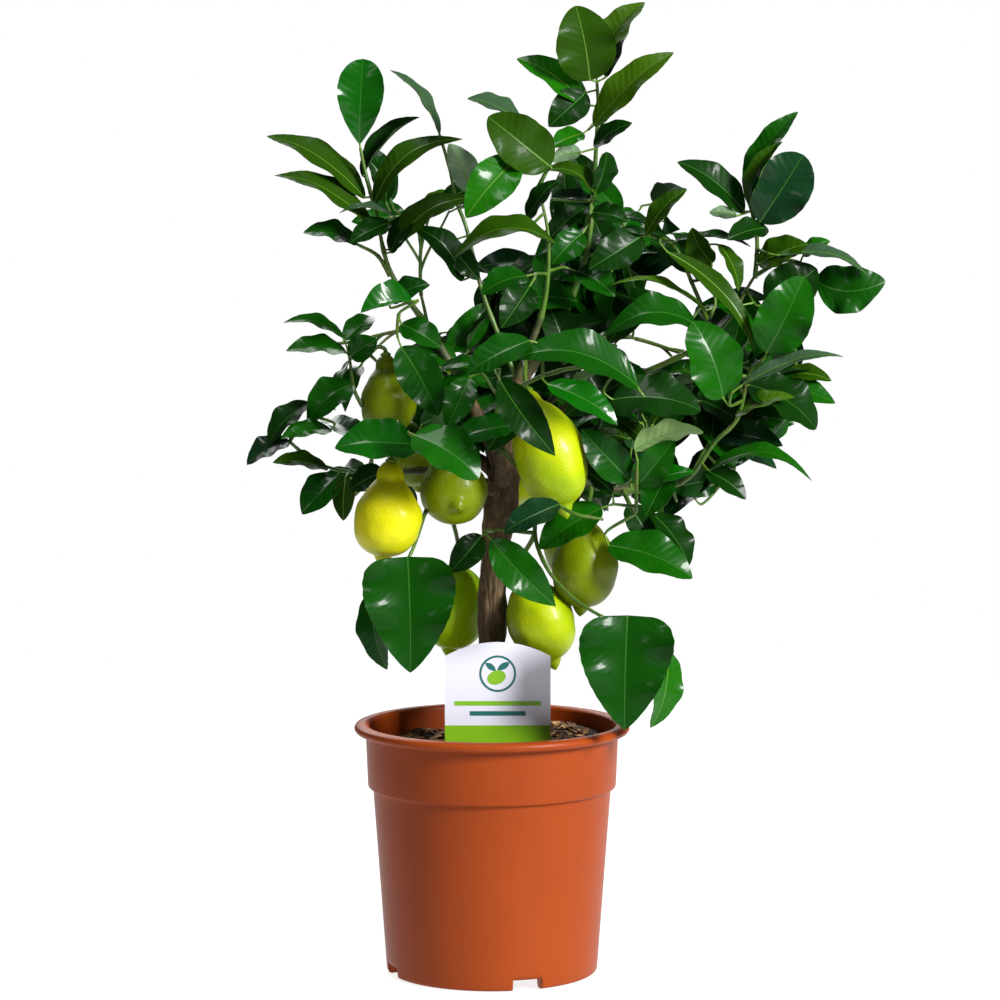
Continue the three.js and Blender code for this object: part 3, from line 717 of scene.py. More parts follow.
# Green shoots that carry on from the boughs and bear the outermost leaves.
SHOOTS = [
    [(-92, -9, 610), (-99, -10, 636), (-103, -12, 656)],
    [(20, -28, 475), (-6, -24, 540), (-20, -18, 594), (-28, -14, 615), (-33, -12, 640), (-41, -12, 667)],
    [(-80, -8, 556), (-90, -7, 572), (-106, -6, 581)],
    [(80, 2, 620), (82, -6, 660), (83, -14, 690), (82, -20, 708)],
    [(36, -48, 626), (42, -54, 638), (46, -60, 642)],
    [(208, 4, 554), (209, -2, 583), (205, -6, 604), (199, -6, 622)],
    [(208, 4, 556), (232, 4, 568), (256, 0, 561)],
    [(176, 10, 508), (160, -6, 545), (143, -18, 580), (124, -26, 588)],
    [(-140, -4, 408), (-150, -4, 416), (-160, -6, 425)],
    [(150, 0, 392), (160, -14, 402), (175, -26, 426), (193, -32, 446), (201, -34, 480), (212, -50, 494)],
    [(104, 2, 386), (112, -40, 372), (112, -74, 392), (112, -88, 418)],
    [(52, 4, 396), (34, -30, 362), (42, -54, 332), (64, -70, 308), (92, -80, 292), (108, -84, 288)],
    [(-38, -14, 402), (-50, -46, 378), (-60, -74, 350), (-67, -84, 336)],
    [(4, -78, 452), (24, -98, 476), (62, -112, 490), (98, -118, 487), (116, -127, 469)],
    [(6, -42, 424), (34, -70, 396), (60, -90, 378), (86, -92, 372)],
]


def trunk_radius(height):
    """The trunk's radius: a flare at the soil, a long taper and a knobbly graft union."""
    along = (height - 170) / 258
    flare = 3.7 * (1 - np.clip((height - SOIL_TOP) / 26, 0, 1)) ** 2
    return 11.8 - 3.3 * along**2 + flare + 3.4 * np.exp(-(((height - 372) / 26) ** 2))


def bark_relief(depth, seed):
    """Cork ridges and fissures that run along the limb, and lumps where it was grafted."""

    def relief(turn, run, radius):
        x, y = cos(turn), sin(turn)
        crack = noise.noise((x * 3.1 + seed, y * 3.1, run / 26)) + 0.5 * noise.noise((x * 7, y * 7 + seed, run / 12))
        lump = noise.noise((x * 1.3, y * 1.3 + seed, run / 34))
        return depth * min(1, radius / 7) ** 2 * (1.6 * abs(crack) - 0.55 + 0.9 * lump)

    return relief


wood = Pile()
trunk_path = smooth_path(TRUNK_ROUTE, 240)
trunk_radii = trunk_radius(trunk_path[:, 2])
graft = bark_relief(1.5, 3.0)


def trunk_relief(turn, run, radius):
    """Plain bark below, and knobs two or three millimetres high round the graft."""
    height = 176 + run
    knob = np.exp(-(((height - 374) / 30) ** 2))
    return graft(turn, run, radius) + 3.2 * knob * noise.noise((cos(turn) * 1.8, sin(turn) * 1.8, run / 15))


tube(wood, trunk_path, trunk_radii, 80, 0, trunk_relief)

stems, stem_radii = [], []
for index, (name, (route, thick, thin)) in enumerate(BOUGHS.items()):
    path = smooth_path(route, 90)
    share = np.linspace(0, 1, 90)
    radii = thick + (thin - thick) * share**0.8
    collar = 2.2 * np.exp(-(share * 9) ** 2)
    knots = 0.5 * np.maximum(0, np.sin(share * 23 + index)) ** 8
    age = np.digitize(share, (0.3, 0.52))
    tube(wood, path, radii * (1 - 0.58 * share**0.6) + collar + knots, 26, age, bark_relief(0.5, 5.0 + index))
    keep = share > 0.3
    stems.append(path[keep])
    stem_radii.append(radii[keep])

greenery = Pile()
for route in SHOOTS:
    path = smooth_path(route, 28)
    radii = np.linspace(2.0, 1.2, 28)
    radii = radii + 0.25 * np.maximum(0, np.sin(np.arange(28) * 1.1)) ** 6
    tube(greenery, path, radii, 9, 0)
    stems.append(path)
    stem_radii.append(radii)


def nearest_stem(point):
    """The closest point of any bough, shoot or twig so far, and its direction of growth."""
    best = None
    for path in stems:
        gap = np.linalg.norm(path - point, axis=1)
        k = int(gap.argmin())
        if best is None or gap[k] < best[0]:
            best = (gap[k], path[k], unit(path[min(k + 1, len(path) - 1)] - path[max(k - 1, 0)]))
    return best


def bowed(start, start_way, end, end_way, count):
    """A curve that leaves one point in one direction and reaches another in its own."""
    t = np.linspace(0, 1, count)[:, None]
    reach = np.linalg.norm(end - start)
    a, b = start_way * reach, end_way * reach
    return (
        (2 * t**3 - 3 * t**2 + 1) * start
        + (t**3 - 2 * t**2 + t) * a
        + (3 * t**2 - 2 * t**3) * end
        + (t**3 - t**2) * b
    )


TWIG_REACH = 17  # a leaf stalk is no longer than this, and beyond it a side twig grows


def join_leaf(base, way):
    """A stalk from the nearest stem to a leaf's foot, on a side twig of its own if that is far."""
    gap, start, growth = nearest_stem(base)
    to_base = unit(base - start)
    growth = growth * max(0.0, np.dot(growth, to_base))
    if gap > TWIG_REACH:
        joint = base - unit(to_base + way) * 9
        path = bowed(start, 0.7 * unit(growth + 1.6 * to_base), joint, 0.6 * unit(1.4 * to_base + 0.6 * way), 14)
        tube(greenery, path, np.linspace(min(1.9, 1.1 + gap / 60), 1.05, 14), 7, 0)
        stems.append(path)
        stem_radii.append(np.full(14, 1.2))
        start, growth = path[-1], unit(path[-1] - path[-2])
        to_base = unit(base - start)
    path = bowed(start, 0.7 * unit(0.6 * growth + to_base), base + way * 1.2, 0.6 * unit(way + 0.7 * to_base), 9)
    tube(greenery, path, np.array([1.25, 1.0, 0.85, 0.8, 0.8, 0.8, 0.85, 0.9, 0.75]), 6, 1)


# ---------------------------------------------------------------- lemons

# Each fruit: its stalk end and its blossom end as seen from the front, their depths, its
# width, how ripe it is, with olive as painted shade for fruits under leaves, and how long its neck is.
FRUIT = [
    ((-80, 410), (-88, 325), (-70, -72), 54, "yellow", 0.34),
    ((-36, 397), (-26, 371), (-14, -70), 54, "olive", 0.05),
    ((28, 466), (60, 363), (-62, -78), 57, "turning", 0.15),
    ((24, 320), (51, 242), (-12, -20), 54, "turning", 0.12),
    ((75, 364), (70, 285), (-16, -20), 53, "olive", 0.1),
    ((-27, 332), (-35, 252), (40, 44), 56, "green", 0.12),
    ((-84, 494), (-83, 424), (18, 14), 46, "olive", 0.3),
    ((-62, 436), (-58, 384), (24, 22), 44, "olive", 0.1),
]
BACK_FRUIT = [
    ((64, 96, 366), (70, 108, 296), 53, "turning", 0.25),
    ((-85, 88, 388), (-91, 100, 326), 48, "yellow", 0.3),
    ((18, 96, 430), (22, 118, 360), 54, "turning", 0.2),
    ((-38, 120, 488), (-43, 130, 424), 48, "green", 0.2),
    ((72, 128, 468), (76, 142, 404), 50, "green", 0.2),
]


def lemon_radius(u, neck):
    """The radius over the length of a lemon of width 2: body, blossom nipple and neck."""

    def bulb(middle, reach, radius):
        return radius * np.sqrt(np.maximum(0, 1 - ((u - middle) / reach) ** 2))

    shoulder = 0.05 + 0.36 * neck
    middle, reach = (shoulder + 0.9) / 2, (0.9 - shoulder) / 2
    slope = np.where(u < middle, 0.5 + 0.8 * neck, 0.5)
    body = 0.98 * np.maximum(0, 1 - ((u - middle) / reach) ** 2) ** slope
    nipple = 0.32 * np.maximum(0, 1 - ((u - 0.8) / 0.2) ** 2) ** 0.8
    throat = bulb((shoulder + 0.16) / 2, (shoulder + 0.16) / 2, 0.22 + 0.52 * neck)
    return (body**2 + nipple**2 + throat**2) ** 0.5


def lemon(pile, stalk, blossom, width, ripeness_and_shade, neck, seed):
    """One fruit with its calyx, lumpy as real ones are."""
    stalk, blossom = np.asarray(stalk, float), np.asarray(blossom, float)
    axis = unit(blossom - stalk)
    way = unit(np.cross(axis, (0.2, 1, 0.1)))
    other = np.cross(axis, way)
    rows, sides = 56, 64
    u = (1 - np.cos(np.linspace(0.02, pi - 0.02, rows))) / 2
    turn = np.arange(sides) * tau / sides
    radii = np.maximum(lemon_radius(u, neck) * width / 2, 0.4)
    length = np.linalg.norm(blossom - stalk)
    points = np.empty((rows, sides, 3))
    for k in range(rows):
        for j in range(sides):
            x, y, z = cos(turn[j]), sin(turn[j]), u[k] * 3
            lump = 1 + 0.05 * noise.noise((x + seed, y, z)) + 0.016 * noise.noise((x * 4, y * 4 + seed, z * 4))
            ridges = 1 + 0.05 * cos(5 * turn[j] + seed) * np.exp(-((u[k] - 0.1) / 0.1) ** 2)
            bend = 1.6 * sin(pi * u[k]) * way
            points[k, j] = (
                stalk + axis * u[k] * length + bend
                + (way * x + other * y) * radii[k] * lump * ridges
            )
    finish = list(PEELS).index(ripeness_and_shade)
    ends = np.stack([points[0].mean(0), points[-1].mean(0)])
    pile.add(np.vstack([points.reshape(-1, 3), ends]), grid_faces(rows, sides, True)[:, ::-1], finish)
    first, last = rows * sides, rows * sides + 1
    ring = np.arange(sides)
    after = (ring + 1) % sides
    low = np.stack([np.full(sides, first), ring, after], 1)
    high = np.stack([np.full(sides, last), after + (rows - 1) * sides, ring + (rows - 1) * sides], 1)
    pile.more_faces(np.vstack([low, high]), finish, rows * sides + 2)
    # The calyx is a small green button where the stalk meets the fruit.
    button = stalk + np.outer(np.linspace(-2.5, 2.0, 7), axis)
    tube(greenery, button, np.array([1.7, 2.4, 3.6, 4.4, 4.6, 3.8, 2.6]), 10, 1)
    gap, start, growth = nearest_stem(stalk - axis * 14)
    path = bowed(start, 0.7 * unit(0.6 * growth + unit(stalk - start)), stalk - axis * 2, 0.8 * axis, 14)
    tube(greenery, path, np.linspace(2.1, 1.6, 14), 8, 0)


fruit = Pile()
fruit_marks = []
for index, (stalk, blossom, depths, width, ripeness_and_shade, neck) in enumerate(FRUIT):
    top, bottom = behind(*stalk, depths[0]), behind(*blossom, depths[1])
    lemon(fruit, top, bottom, width, ripeness_and_shade, neck, index * 1.7)
    fruit_marks.append((seen_at((top + bottom) / 2)[0], width / 2, min(depths)))
for index, (stalk, blossom, width, ripeness_and_shade, neck) in enumerate(BACK_FRUIT):
    lemon(fruit, stalk, blossom, width, ripeness_and_shade, neck, 20 + index * 1.3)

# ---------------------------------------------------------------- the leaves set out one by one

CELL = 4.0
view_x, view_z = np.meshgrid(np.arange(-230, 340, CELL), np.arange(180, 800, CELL), indexing="ij")
covered = np.zeros(view_x.shape, bool)  # where the front view of the crown is closed by a leaf


def note_cover(base, tip, width):
    """Marks what a leaf covers in the front view."""
    for t, share in ((0.15, 0.5), (0.35, 0.85), (0.55, 0.85), (0.75, 0.7), (0.92, 0.35)):
        (x, z), reach = seen_at(base + (tip - base) * t)[0], width * 0.36 * share
        covered[(view_x - x) ** 2 + (view_z - z) ** 2 < reach**2] = True


blades = {name: Pile() for name in BOUGHS}
marks = []  # what a grown leaf may not hide: middle line as seen, half width, depth
for bough_name, rows in PLACED.items():
    for foot, point, depths, width, way, tone, form in rows:
        base, tip = behind(*foot, depths[0]), behind(*point, depths[1])
        luck = random.random()
        rows_wanted = int(np.clip(np.linalg.norm(tip - base) / 1.5, 31, 62))
        leaf(blades[bough_name], base, tip, width, WAYS[way], tone, form, rows=rows_wanted, half=8, luck=luck)
        line = seen_at(np.linspace(base, tip, 7))
        marks.append((line, width * 0.36, max(depths)))
        note_cover(base, tip, width)
        join_leaf(base, unit(tip - base))

# Places where the front view is open to the light behind, as discs: across, up and radius.
OPENINGS = [
    (-135, 416, 10), (-92, 413, 8), (-43, 353, 15), (108, 362, 5), (115, 500, 6), (-60, 470, 5),
    (134, 656, 22), (172, 660, 20), (113, 630, 14), (165, 606, 6), (152, 540, 9), (125, 503, 8), (142, 498, 6),
    (-136, 485, 12), (-89, 508, 7), (-53, 558, 13), (-118, 560, 20), (-130, 534, 16), (-162, 470, 14),
    (-50, 640, 18), (-20, 640, 6), (276, 600, 14), (270, 520, 12), (-6, 585, 8),
    (198, 366, 22), (172, 360, 10), (218, 384, 12), (155, 415, 7), (-41, 532, 10), (-152, 555, 20),
    (-43, 571, 8), (-28, 542, 10), (9, 584, 8), (-63, 559, 10), (138, 546, 9), (184, 566, 7),
]


def hides_something(points):
    """Whether a leaf along these points would stand before a placed leaf, a fruit or a gap."""
    seen = seen_at(points)
    for line, reach, depth in marks:
        gaps = np.linalg.norm(seen[:, None] - line[None], axis=2).min(1)
        if np.any((gaps < reach + 7) & (points[:, 1] < depth + 4)):
            return True
    for middle, reach, depth in fruit_marks:
        gaps = np.linalg.norm(seen - middle, axis=1)
        if np.any((gaps < reach + 6) & (points[:, 1] < depth + 30)):
            return True
    return any(np.any(np.linalg.norm(seen - (x, z), axis=1) < r + 9) for x, z, r in OPENINGS)


# ---------------------------------------------------------------- leaves grown by rule

# How many shoots a spray grows. Those not named here grow one for each 45 cm3 of their mass,
# and those whose leaves are nearly all set out above grow few.
SHOOT_COUNTS = {
    "upper_left_upright": 0, "upper_left_outer": 0, "upper_left_inner": 0, "upper_left_low_outer": 0,
    "upper_left_low_inner": 2, "upper_left_elbow": 1, "leader_tip": 0, "leader_right": 0, "leader_left": 1,
    "leader_neck": 4, "centre_front": 1, "centre_left": 1, "mid_left_tip": 0, "low_left_outer": 2,
    "low_left_front": 1, "low_left_fruit": 0, "low_left_hanging": 0, "low_right_tip": 1,
    "low_right_hanging": 0, "low_right_fruit": 1, "low_right_outer": 2, "upper_right_left": 0,
    "upper_right_tip": 0, "upper_right_round": 0, "upper_right_outer": 1, "upper_right_front": 2,
    "front_low": 1, "front_fruit": 1,
}
INNER_TONES = ("dark", "dark", "deep", "deep", "mid", "blue")
OUTER_TONES = ("deep", "mid", "mid", "glossy", "bright", "olive")
FORM_NAMES = ("plain", "plain", "long", "swept", "arched", "broad")


def mass_of(spray_node):
    """Middle, axes and half sizes of a mass, from the points of its mesh."""
    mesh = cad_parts[spray_node].data
    points = np.empty(len(mesh.vertices) * 3, np.float32)
    mesh.vertices.foreach_get("co", points)
    points = points.reshape(-1, 3).astype(float) / MM
    middle = (points.min(0) + points.max(0)) / 2
    axes = np.linalg.svd(points - points.mean(0), full_matrices=False)[2]
    spread = (points - middle) @ axes.T
    return middle, axes, np.abs(spread).max(0)


spray_nodes = sorted(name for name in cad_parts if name.startswith("leaves_"))
bough_of = {}
for spray_node in spray_nodes:
    spray_name = spray_node[len("leaves_") :]
    bough_of[spray_node] = max((name for name in BOUGHS if spray_name.startswith(name + "_")), key=len)

def inside(point, middle, axes, halves):
    """How far out in a mass a point is: 1 on its skin."""
    return sqrt(np.sum(((axes @ (point - middle)) / halves) ** 2))


def grown_leaf(pile, root, way, radial, mass, limit):
    """One leaf on a stalk from a shoot, or nothing where it has no room."""
    middle, axes, halves = mass
    length, stalk = random.uniform(44, 70), random.uniform(6, 11)
    facing = unit(np.array((0, -0.35, 0.9)) + 0.45 * radial + random.normal(0, 0.28, 3))
    luck, pick, slender = random.random(), random.random(), random.uniform(0.43, 0.54)
    # A blade that would show the front only its edge is turned towards it.
    if abs(unit(facing - way * np.dot(facing, way))[1]) < 0.2:
        facing = facing - (0, 0.6, 0)
    base = root + way * stalk
    while length > 30 and inside(base + way * length, middle, axes, halves) > limit:
        length -= 3
    tip = base + way * length
    if length <= 34 or hides_something(np.linspace(base, tip, 5)):
        return False
    outer = tip[1] < -30 or np.linalg.norm(tip[:2]) > 125
    tones = OUTER_TONES if outer else INNER_TONES
    tone = tones[int(pick * len(tones))]
    form = FORM_NAMES[int(luck * len(FORM_NAMES))]
    leaf(pile, base, tip, length * slender, facing, tone, form, rows=14, half=4, luck=luck)
    note_cover(base, tip, length * slender)
    stalk_path = bowed(root, 0.8 * unit(radial + way), base + way, 0.8 * way, 6)
    tube(greenery, stalk_path, np.array([1.2, 0.95, 0.8, 0.8, 0.85, 0.75]), 6, 1)
    return True


for spray_node in spray_nodes:
    spray_name = spray_node[len("leaves_") :]
    bough_name = bough_of[spray_node]
    mass = middle, axes, halves = mass_of(spray_node)
    volume = 4 / 3 * pi * np.prod(halves)
    wanted = SHOOT_COUNTS.get(spray_name, int(np.clip(volume / 45000, 2, 9)))
    if not wanted:
        continue
    limit = 1.32 if middle[1] > 60 else 1.08
    gap, start, growth = nearest_stem(middle)
    long_axis = axes[0] if np.dot(axes[0], middle - start) >= 0 else -axes[0]
    end = middle + long_axis * halves[0] * 0.3
    to_end = unit(end - start)
    twig = bowed(start, 0.8 * unit(growth + 1.5 * to_end), end, 0.7 * unit(long_axis + to_end), 22)
    reached = 0
    for index in range(wanted):
        share = 0.2 + 0.8 * (index + 0.5) / wanted
        root = twig[int(share * 21)]
        turn = index * GOLDEN_ANGLE + random.uniform(-0.4, 0.4)
        out = axes[1] * cos(turn) + axes[2] * sin(turn)
        way = unit(out + long_axis * random.uniform(-0.6, 1.0) + (0, 0, 0.15))
        reach = 1 / inside(middle + way, middle, axes, halves)
        target = middle + way * reach * random.uniform(0.45, 0.72)
        to_target = unit(target - root)
        shoot = bowed(root, 0.8 * unit(to_target + 0.6 * long_axis), target, 0.8 * unit(to_target + (0, 0, 0.35)), 16)
        run = np.linalg.norm(target - root)
        count = int(np.clip(run / 11, 3, 6)) + 1
        last = 0
        for k in range(count):
            place = 1 - 0.72 * (k / count) ** 1.1
            at = int(place * 15)
            point = shoot[at]
            along = unit(shoot[min(at + 1, 15)] - shoot[at - 1])
            spin = k * GOLDEN_ANGLE + turn
            side = unit(np.cross(along, (0.3, 0.2, 1)))
            radial = side * cos(spin) + np.cross(along, side) * sin(spin)
            spread = 0.15 if k == 0 else random.uniform(0.8, 1.5)
            leaf_way = unit(along + radial * spread + (0, 0, 0.1))
            if grown_leaf(blades[bough_name], point, leaf_way, radial, mass, limit):
                last = max(last, at)
        # A shoot is drawn as far as its last leaf, and a twig as far as its last shoot.
        if last:
            tube(greenery, shoot[: last + 1], np.linspace(1.35, 0.9, last + 1), 7, 0)
            stems.append(shoot[: last + 1])
            reached = max(reached, int(share * 21))
    if reached and np.linalg.norm(end - start) > 12:
        tube(greenery, twig[: reached + 1], np.linspace(1.8, 1.3, reached + 1), 8, 0)
        stems.append(twig[: reached + 1])

# The front and two back boughs, and the shoots from the seventh on, each end in up to three leaves of their own.
open_air = (np.zeros(3), np.eye(3), np.full(3, 1e6))
for route in [BOUGHS[name][0] for name in ("front", "back_left", "back_right")] + SHOOTS[6:]:
    point, along = np.array(route[-1], float), unit(np.subtract(route[-1], route[-2]))
    near = min(BOUGHS, key=lambda name: np.linalg.norm(np.subtract(BOUGHS[name][0][-1], point)))
    side = unit(np.cross(along, (0.3, 0.2, 1)))
    for k in range(3):
        radial = side * cos(k * GOLDEN_ANGLE) + np.cross(along, side) * sin(k * GOLDEN_ANGLE)
        grown_leaf(blades[near], point - along * 3 * k, unit(along + radial * (0.3 + 0.3 * k)), radial, open_air, 1)

# Parts of the front view where the crown is closed, as ovals: across, up and their half sizes.
# Inner leaves grow there, one at a time, until no sky shows through.
CLOSED = [(20, 500, 74, 70), (-30, 450, 50, 52), (140, 500, 62, 84), (70, 440, 80, 60), (200, 470, 44, 44), (84, 600, 34, 40), (150, 420, 60, 44)]
closed = np.zeros(covered.shape, bool)
for x, z, half_across, half_up in CLOSED:
    closed |= ((view_x - x) / half_across) ** 2 + ((view_z - z) / half_up) ** 2 < 1
for middle, reach, depth in fruit_marks:
    closed &= (view_x - middle[0]) ** 2 + (view_z - middle[1]) ** 2 > (reach + 6) ** 2
for x, z, reach in OPENINGS:
    closed &= (view_x - x) ** 2 + (view_z - z) ** 2 > (reach + 12) ** 2
closed &= (np.abs(view_x - 4) > 14) | (view_z > 420)
for trial in range(400):
    holes = np.argwhere(closed & ~covered)
    if len(holes) < 12:
        break
    i, j = holes[int(random.random() * len(holes))]
    middle = behind(view_x[i, j], view_z[i, j], random.uniform(-10, 80))
    turn, length = random.uniform(0, tau), random.uniform(40, 62)
    way = unit((cos(turn), random.uniform(-0.5, 0.3), 0.6 * sin(turn) + 0.15))
    base, tip = middle - way * length / 2, middle + way * length / 2
    facing = unit(np.array((0, -0.7, 0.7)) + random.normal(0, 0.35, 3))
    luck, slender = random.random(), random.uniform(0.44, 0.54)
    if hides_something(np.linspace(base, tip, 5)) or nearest_stem(base)[0] > 40:
        continue
    tone = INNER_TONES[int(luck * len(INNER_TONES))]
    near = min(BOUGHS, key=lambda name: np.linalg.norm(np.subtract(BOUGHS[name][0][2], middle)))
    leaf(blades[near], base, tip, length * slender, facing, tone, "plain", rows=14, half=4, luck=luck)
    note_cover(base, tip, length * slender)
    join_leaf(base, way)

for bough_name, pile in blades.items():
    piece = pile.make(f"leaves_on_{bough_name}", leaf_finishes)
    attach(piece, BODY)
    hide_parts(*(one for one in spray_nodes if bough_of[one] == bough_name))

twigs = greenery.make("shoots_and_leaf_stalks", [green_shoot, petiole_skin])
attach(twigs, BODY)

lemons = fruit.make("lemons", list(PEELS.values()))
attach(lemons, BODY)

woody = wood.make("trunk_and_boughs", [cork_bark, young_bark, green_shoot])
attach(woody, BODY)
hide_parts("trunk", *(f"bough_{name}" for name in BOUGHS))

# ---------------------------------------------------------------- pot

# Radius and height round the wall of the pot, from the middle of its underside to the middle
# of its floor, with the radius of each rounded corner.
POT_PROFILE = [
    (0.05, 0, 0), (38, 0, 0.8), (42, 9, 1), (72.2, 9, 1), (75.2, 0, 0.8), (84.2, 0, 3.2), (95, 148, 1.2),
    (99, 149.5, 1.2), (100.8, 192, 1.2), (106, 192, 1), (109, 193.6, 2), (110, 196, 2), (109, 198.6, 2),
    (106, 200, 2), (100.8, 200, 1.5), (98.3, 198, 1.2), (96.8, 151, 1.2), (92.5, 147, 1), (81.7, 14.5, 1),
    (78.7, 11.5, 1), (37, 11.5, 1), (33, 2.5, 1), (0.05, 2.5, 0),
]
POT_SIDES = 160
NOTCH_BEARING = radians(289.5)


def rounded(profile):
    """The profile with its corners rounded, each by a short curve of five points."""
    made = [profile[0][:2]]
    for before, corner, after in zip(profile, profile[1:], profile[2:]):
        at = np.array(corner[:2], float)
        back, on = np.array(before[:2]) - at, np.array(after[:2]) - at
        cut = min(corner[2], 0.45 * np.linalg.norm(back), 0.45 * np.linalg.norm(on))
        enter, leave = at + unit(back) * cut, at + unit(on) * cut
        for t in np.linspace(0, 1, 5):
            made.append((1 - t) ** 2 * enter + 2 * t * (1 - t) * at + t**2 * leave)
    made.append(profile[-1][:2])
    return np.array([tuple(point) for point in made])


def lathe(profile, sides):
    turn = np.arange(sides) * tau / sides
    x = profile[:, :1] * np.cos(turn)
    y = profile[:, :1] * np.sin(turn)
    z = np.broadcast_to(profile[:, 1:], x.shape)
    return np.stack([x, y, z], -1)


def box_pile(centre, size, bearing):
    """A block turned about +Z round the pot's axis."""
    signs = np.array([(a, b, c) for a in (-1, 1) for b in (-1, 1) for c in (-1, 1)])
    local = np.array(centre) + signs * np.array(size) / 2
    c, s = cos(bearing), sin(bearing)
    points = np.stack([local[:, 0] * c - local[:, 1] * s, local[:, 0] * s + local[:, 1] * c, local[:, 2]], 1)
    pile = Pile()
    faces = [(0, 1, 3, 2), (4, 6, 7, 5), (0, 4, 5, 1), (2, 3, 7, 6), (0, 2, 6, 4), (1, 5, 7, 3)]
    pile.add(points, faces, 0)
    return pile


def cut_from(piece, cutters):
    """Cuts the other pieces out of this one for good, and removes them."""
    for cutter in cutters:
        step = piece.modifiers.new("cut", "BOOLEAN")
        step.operation, step.solver, step.object = "DIFFERENCE", "EXACT", cutter
    depsgraph = bpy.context.evaluated_depsgraph_get()
    mesh = bpy.data.meshes.new_from_object(piece.evaluated_get(depsgraph))
    piece.modifiers.clear()
    piece.data = mesh
    for cutter in cutters:
        bpy.data.objects.remove(cutter)


profile = rounded(POT_PROFILE)
# More rings along the long walls keep the quads even.
dense = [profile[0]]
for a, b in zip(profile, profile[1:]):
    steps = max(1, int(np.linalg.norm(b - a) / 9))
    dense += [a + (b - a) * (k + 1) / steps for k in range(steps)]
profile = np.array(dense)
shell = Pile()
turned = lathe(profile, POT_SIDES)
ends = np.array([(0, 0, profile[0, 1]), (0, 0, profile[-1, 1])])
shell.add(np.vstack([turned.reshape(-1, 3), ends]), grid_faces(len(profile), POT_SIDES, True), 0)
ring = np.arange(POT_SIDES)
after = (ring + 1) % POT_SIDES
first = len(profile) * POT_SIDES
low = np.stack([np.full(POT_SIDES, first), after, ring], 1)
high = np.stack(
    [np.full(POT_SIDES, first + 1), ring + (len(profile) - 1) * POT_SIDES, after + (len(profile) - 1) * POT_SIDES], 1
)
shell.more_faces(np.vstack([low, high]), 0, first + 2)
pot = shell.make("pot_moulded", [pot_plastic])
cutters = []
for k in range(4):
    cutters.append(box_pile((79.7, 0, 0), (21, 24, 18), NOTCH_BEARING + k * tau / 4).make(f"notch_{k}", []))
hole_ring = (38 + 75.2) / 2
for k in range(6):
    bearing = (k + 0.5) * tau / 6
    hole = Pile()
    centre = np.array((cos(bearing), sin(bearing), 0)) * hole_ring
    tube(hole, centre + np.outer((0, 20), (0, 0, 1)), (5, 5), 24, 0)
    cutters.append(hole.make(f"hole_{k}", []))
cut_from(pot, cutters)
pot.data.materials.clear()
pot.data.materials.append(pot_plastic)
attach(pot, BODY)
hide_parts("pot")

# ---------------------------------------------------------------- compost

SOIL_RADIUS = 94.9


def soil_height(x, y):
    """The heaped, lumpy top of the compost, level round the trunk."""
    heap = 5 / 3 * (np.sin(x / 13) * np.cos(y / 11) + np.sin((x + y) / 17 + 1) + (x + y) / 60)
    settle = np.clip((np.hypot(x, y) - 24) / 30, 0, 1)
    fine = 1.5 * noise.noise((x / 9, y / 9, 0)) + 0.9 * noise.noise((x / 3.2, y / 3.2, 5))
    bank = 5 * np.exp(-((x - 52) ** 2 + (y - 52) ** 2) / 34**2)
    return SOIL_TOP + heap * settle + fine + bank


ground = Pile()
rings, sides = 64, 150
radii = np.linspace(0.6, SOIL_RADIUS, rings)
surface = np.empty((rings, sides, 3))
for k, radius in enumerate(radii):
    for j in range(sides):
        x, y = radius * cos(j * tau / sides), radius * sin(j * tau / sides)
        surface[k, j] = (x, y, soil_height(x, y))
skirt = []
for radius, height in ((94.4, 152), (91.3, 146), (79, 15), (76, 12.3), (36, 12.3), (32, 3.4), (0.6, 3.4)):
    turn = np.arange(sides) * tau / sides
    skirt.append(np.stack([radius * np.cos(turn), radius * np.sin(turn), np.full(sides, float(height))], 1))
body = np.concatenate([surface, np.array(skirt)])
ends = np.array([surface[0].mean(0), (0, 0, 3.4)])
ground.add(np.vstack([body.reshape(-1, 3), ends]), grid_faces(len(body), sides, True)[:, ::-1], 0)
ring = np.arange(sides)
after = (ring + 1) % sides
first = len(body) * sides
low = np.stack([np.full(sides, first), ring, after], 1)
high = np.stack([np.full(sides, first + 1), after + (len(body) - 1) * sides, ring + (len(body) - 1) * sides], 1)
ground.more_faces(np.vstack([low, high]), 0, first + 2)
soil = ground.make("compost_surface", [compost])
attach(soil, BODY)
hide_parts("potting_soil")


def clear_of_label_and_trunk(x, y, reach):
    return np.hypot(x, y) > 17 + reach / 2 and not (abs(x - 4.6) < 15 + reach and abs(y + 47.6) < 2 + reach)


def turned_way():
    """A random direction that lies nearly flat."""
    turn = random.uniform(0, tau)
    return unit((cos(turn), sin(turn), random.uniform(-0.35, 0.35)))


litter = Pile()
for k in range(900):
    radius, turn = (SOIL_RADIUS - 8) * sqrt(random.random()), random.uniform(0, tau)
    x, y = radius * cos(turn), radius * sin(turn)
    long, wide, thick = random.uniform(3, 13), random.uniform(2, 6), random.uniform(1, 3)
    way = turned_way()
    aside = unit(np.cross(way, unit((random.normal(0, 0.3), random.normal(0, 0.3), 1))))
    top = np.cross(aside, way)
    jitter = random.uniform(0.6, 1.15, (8, 3))
    finish = int(random.choice([0, 0, 1, 1, 2]))
    if not clear_of_label_and_trunk(x, y, long / 2):
        continue
    signs = np.array([(a, b, c) for a in (-1, 1) for b in (-1, 1) for c in (-1, 1)]) * jitter / 2
    centre = np.array((x, y, soil_height(x, y) + thick * 0.3))
    points = centre + signs[:, :1] * long * way + signs[:, 1:2] * wide * aside + signs[:, 2:] * thick * top
    litter.add(points, [(0, 2, 3, 1), (4, 5, 7, 6), (0, 1, 5, 4), (2, 6, 7, 3), (0, 4, 6, 2), (1, 3, 7, 5)], finish)
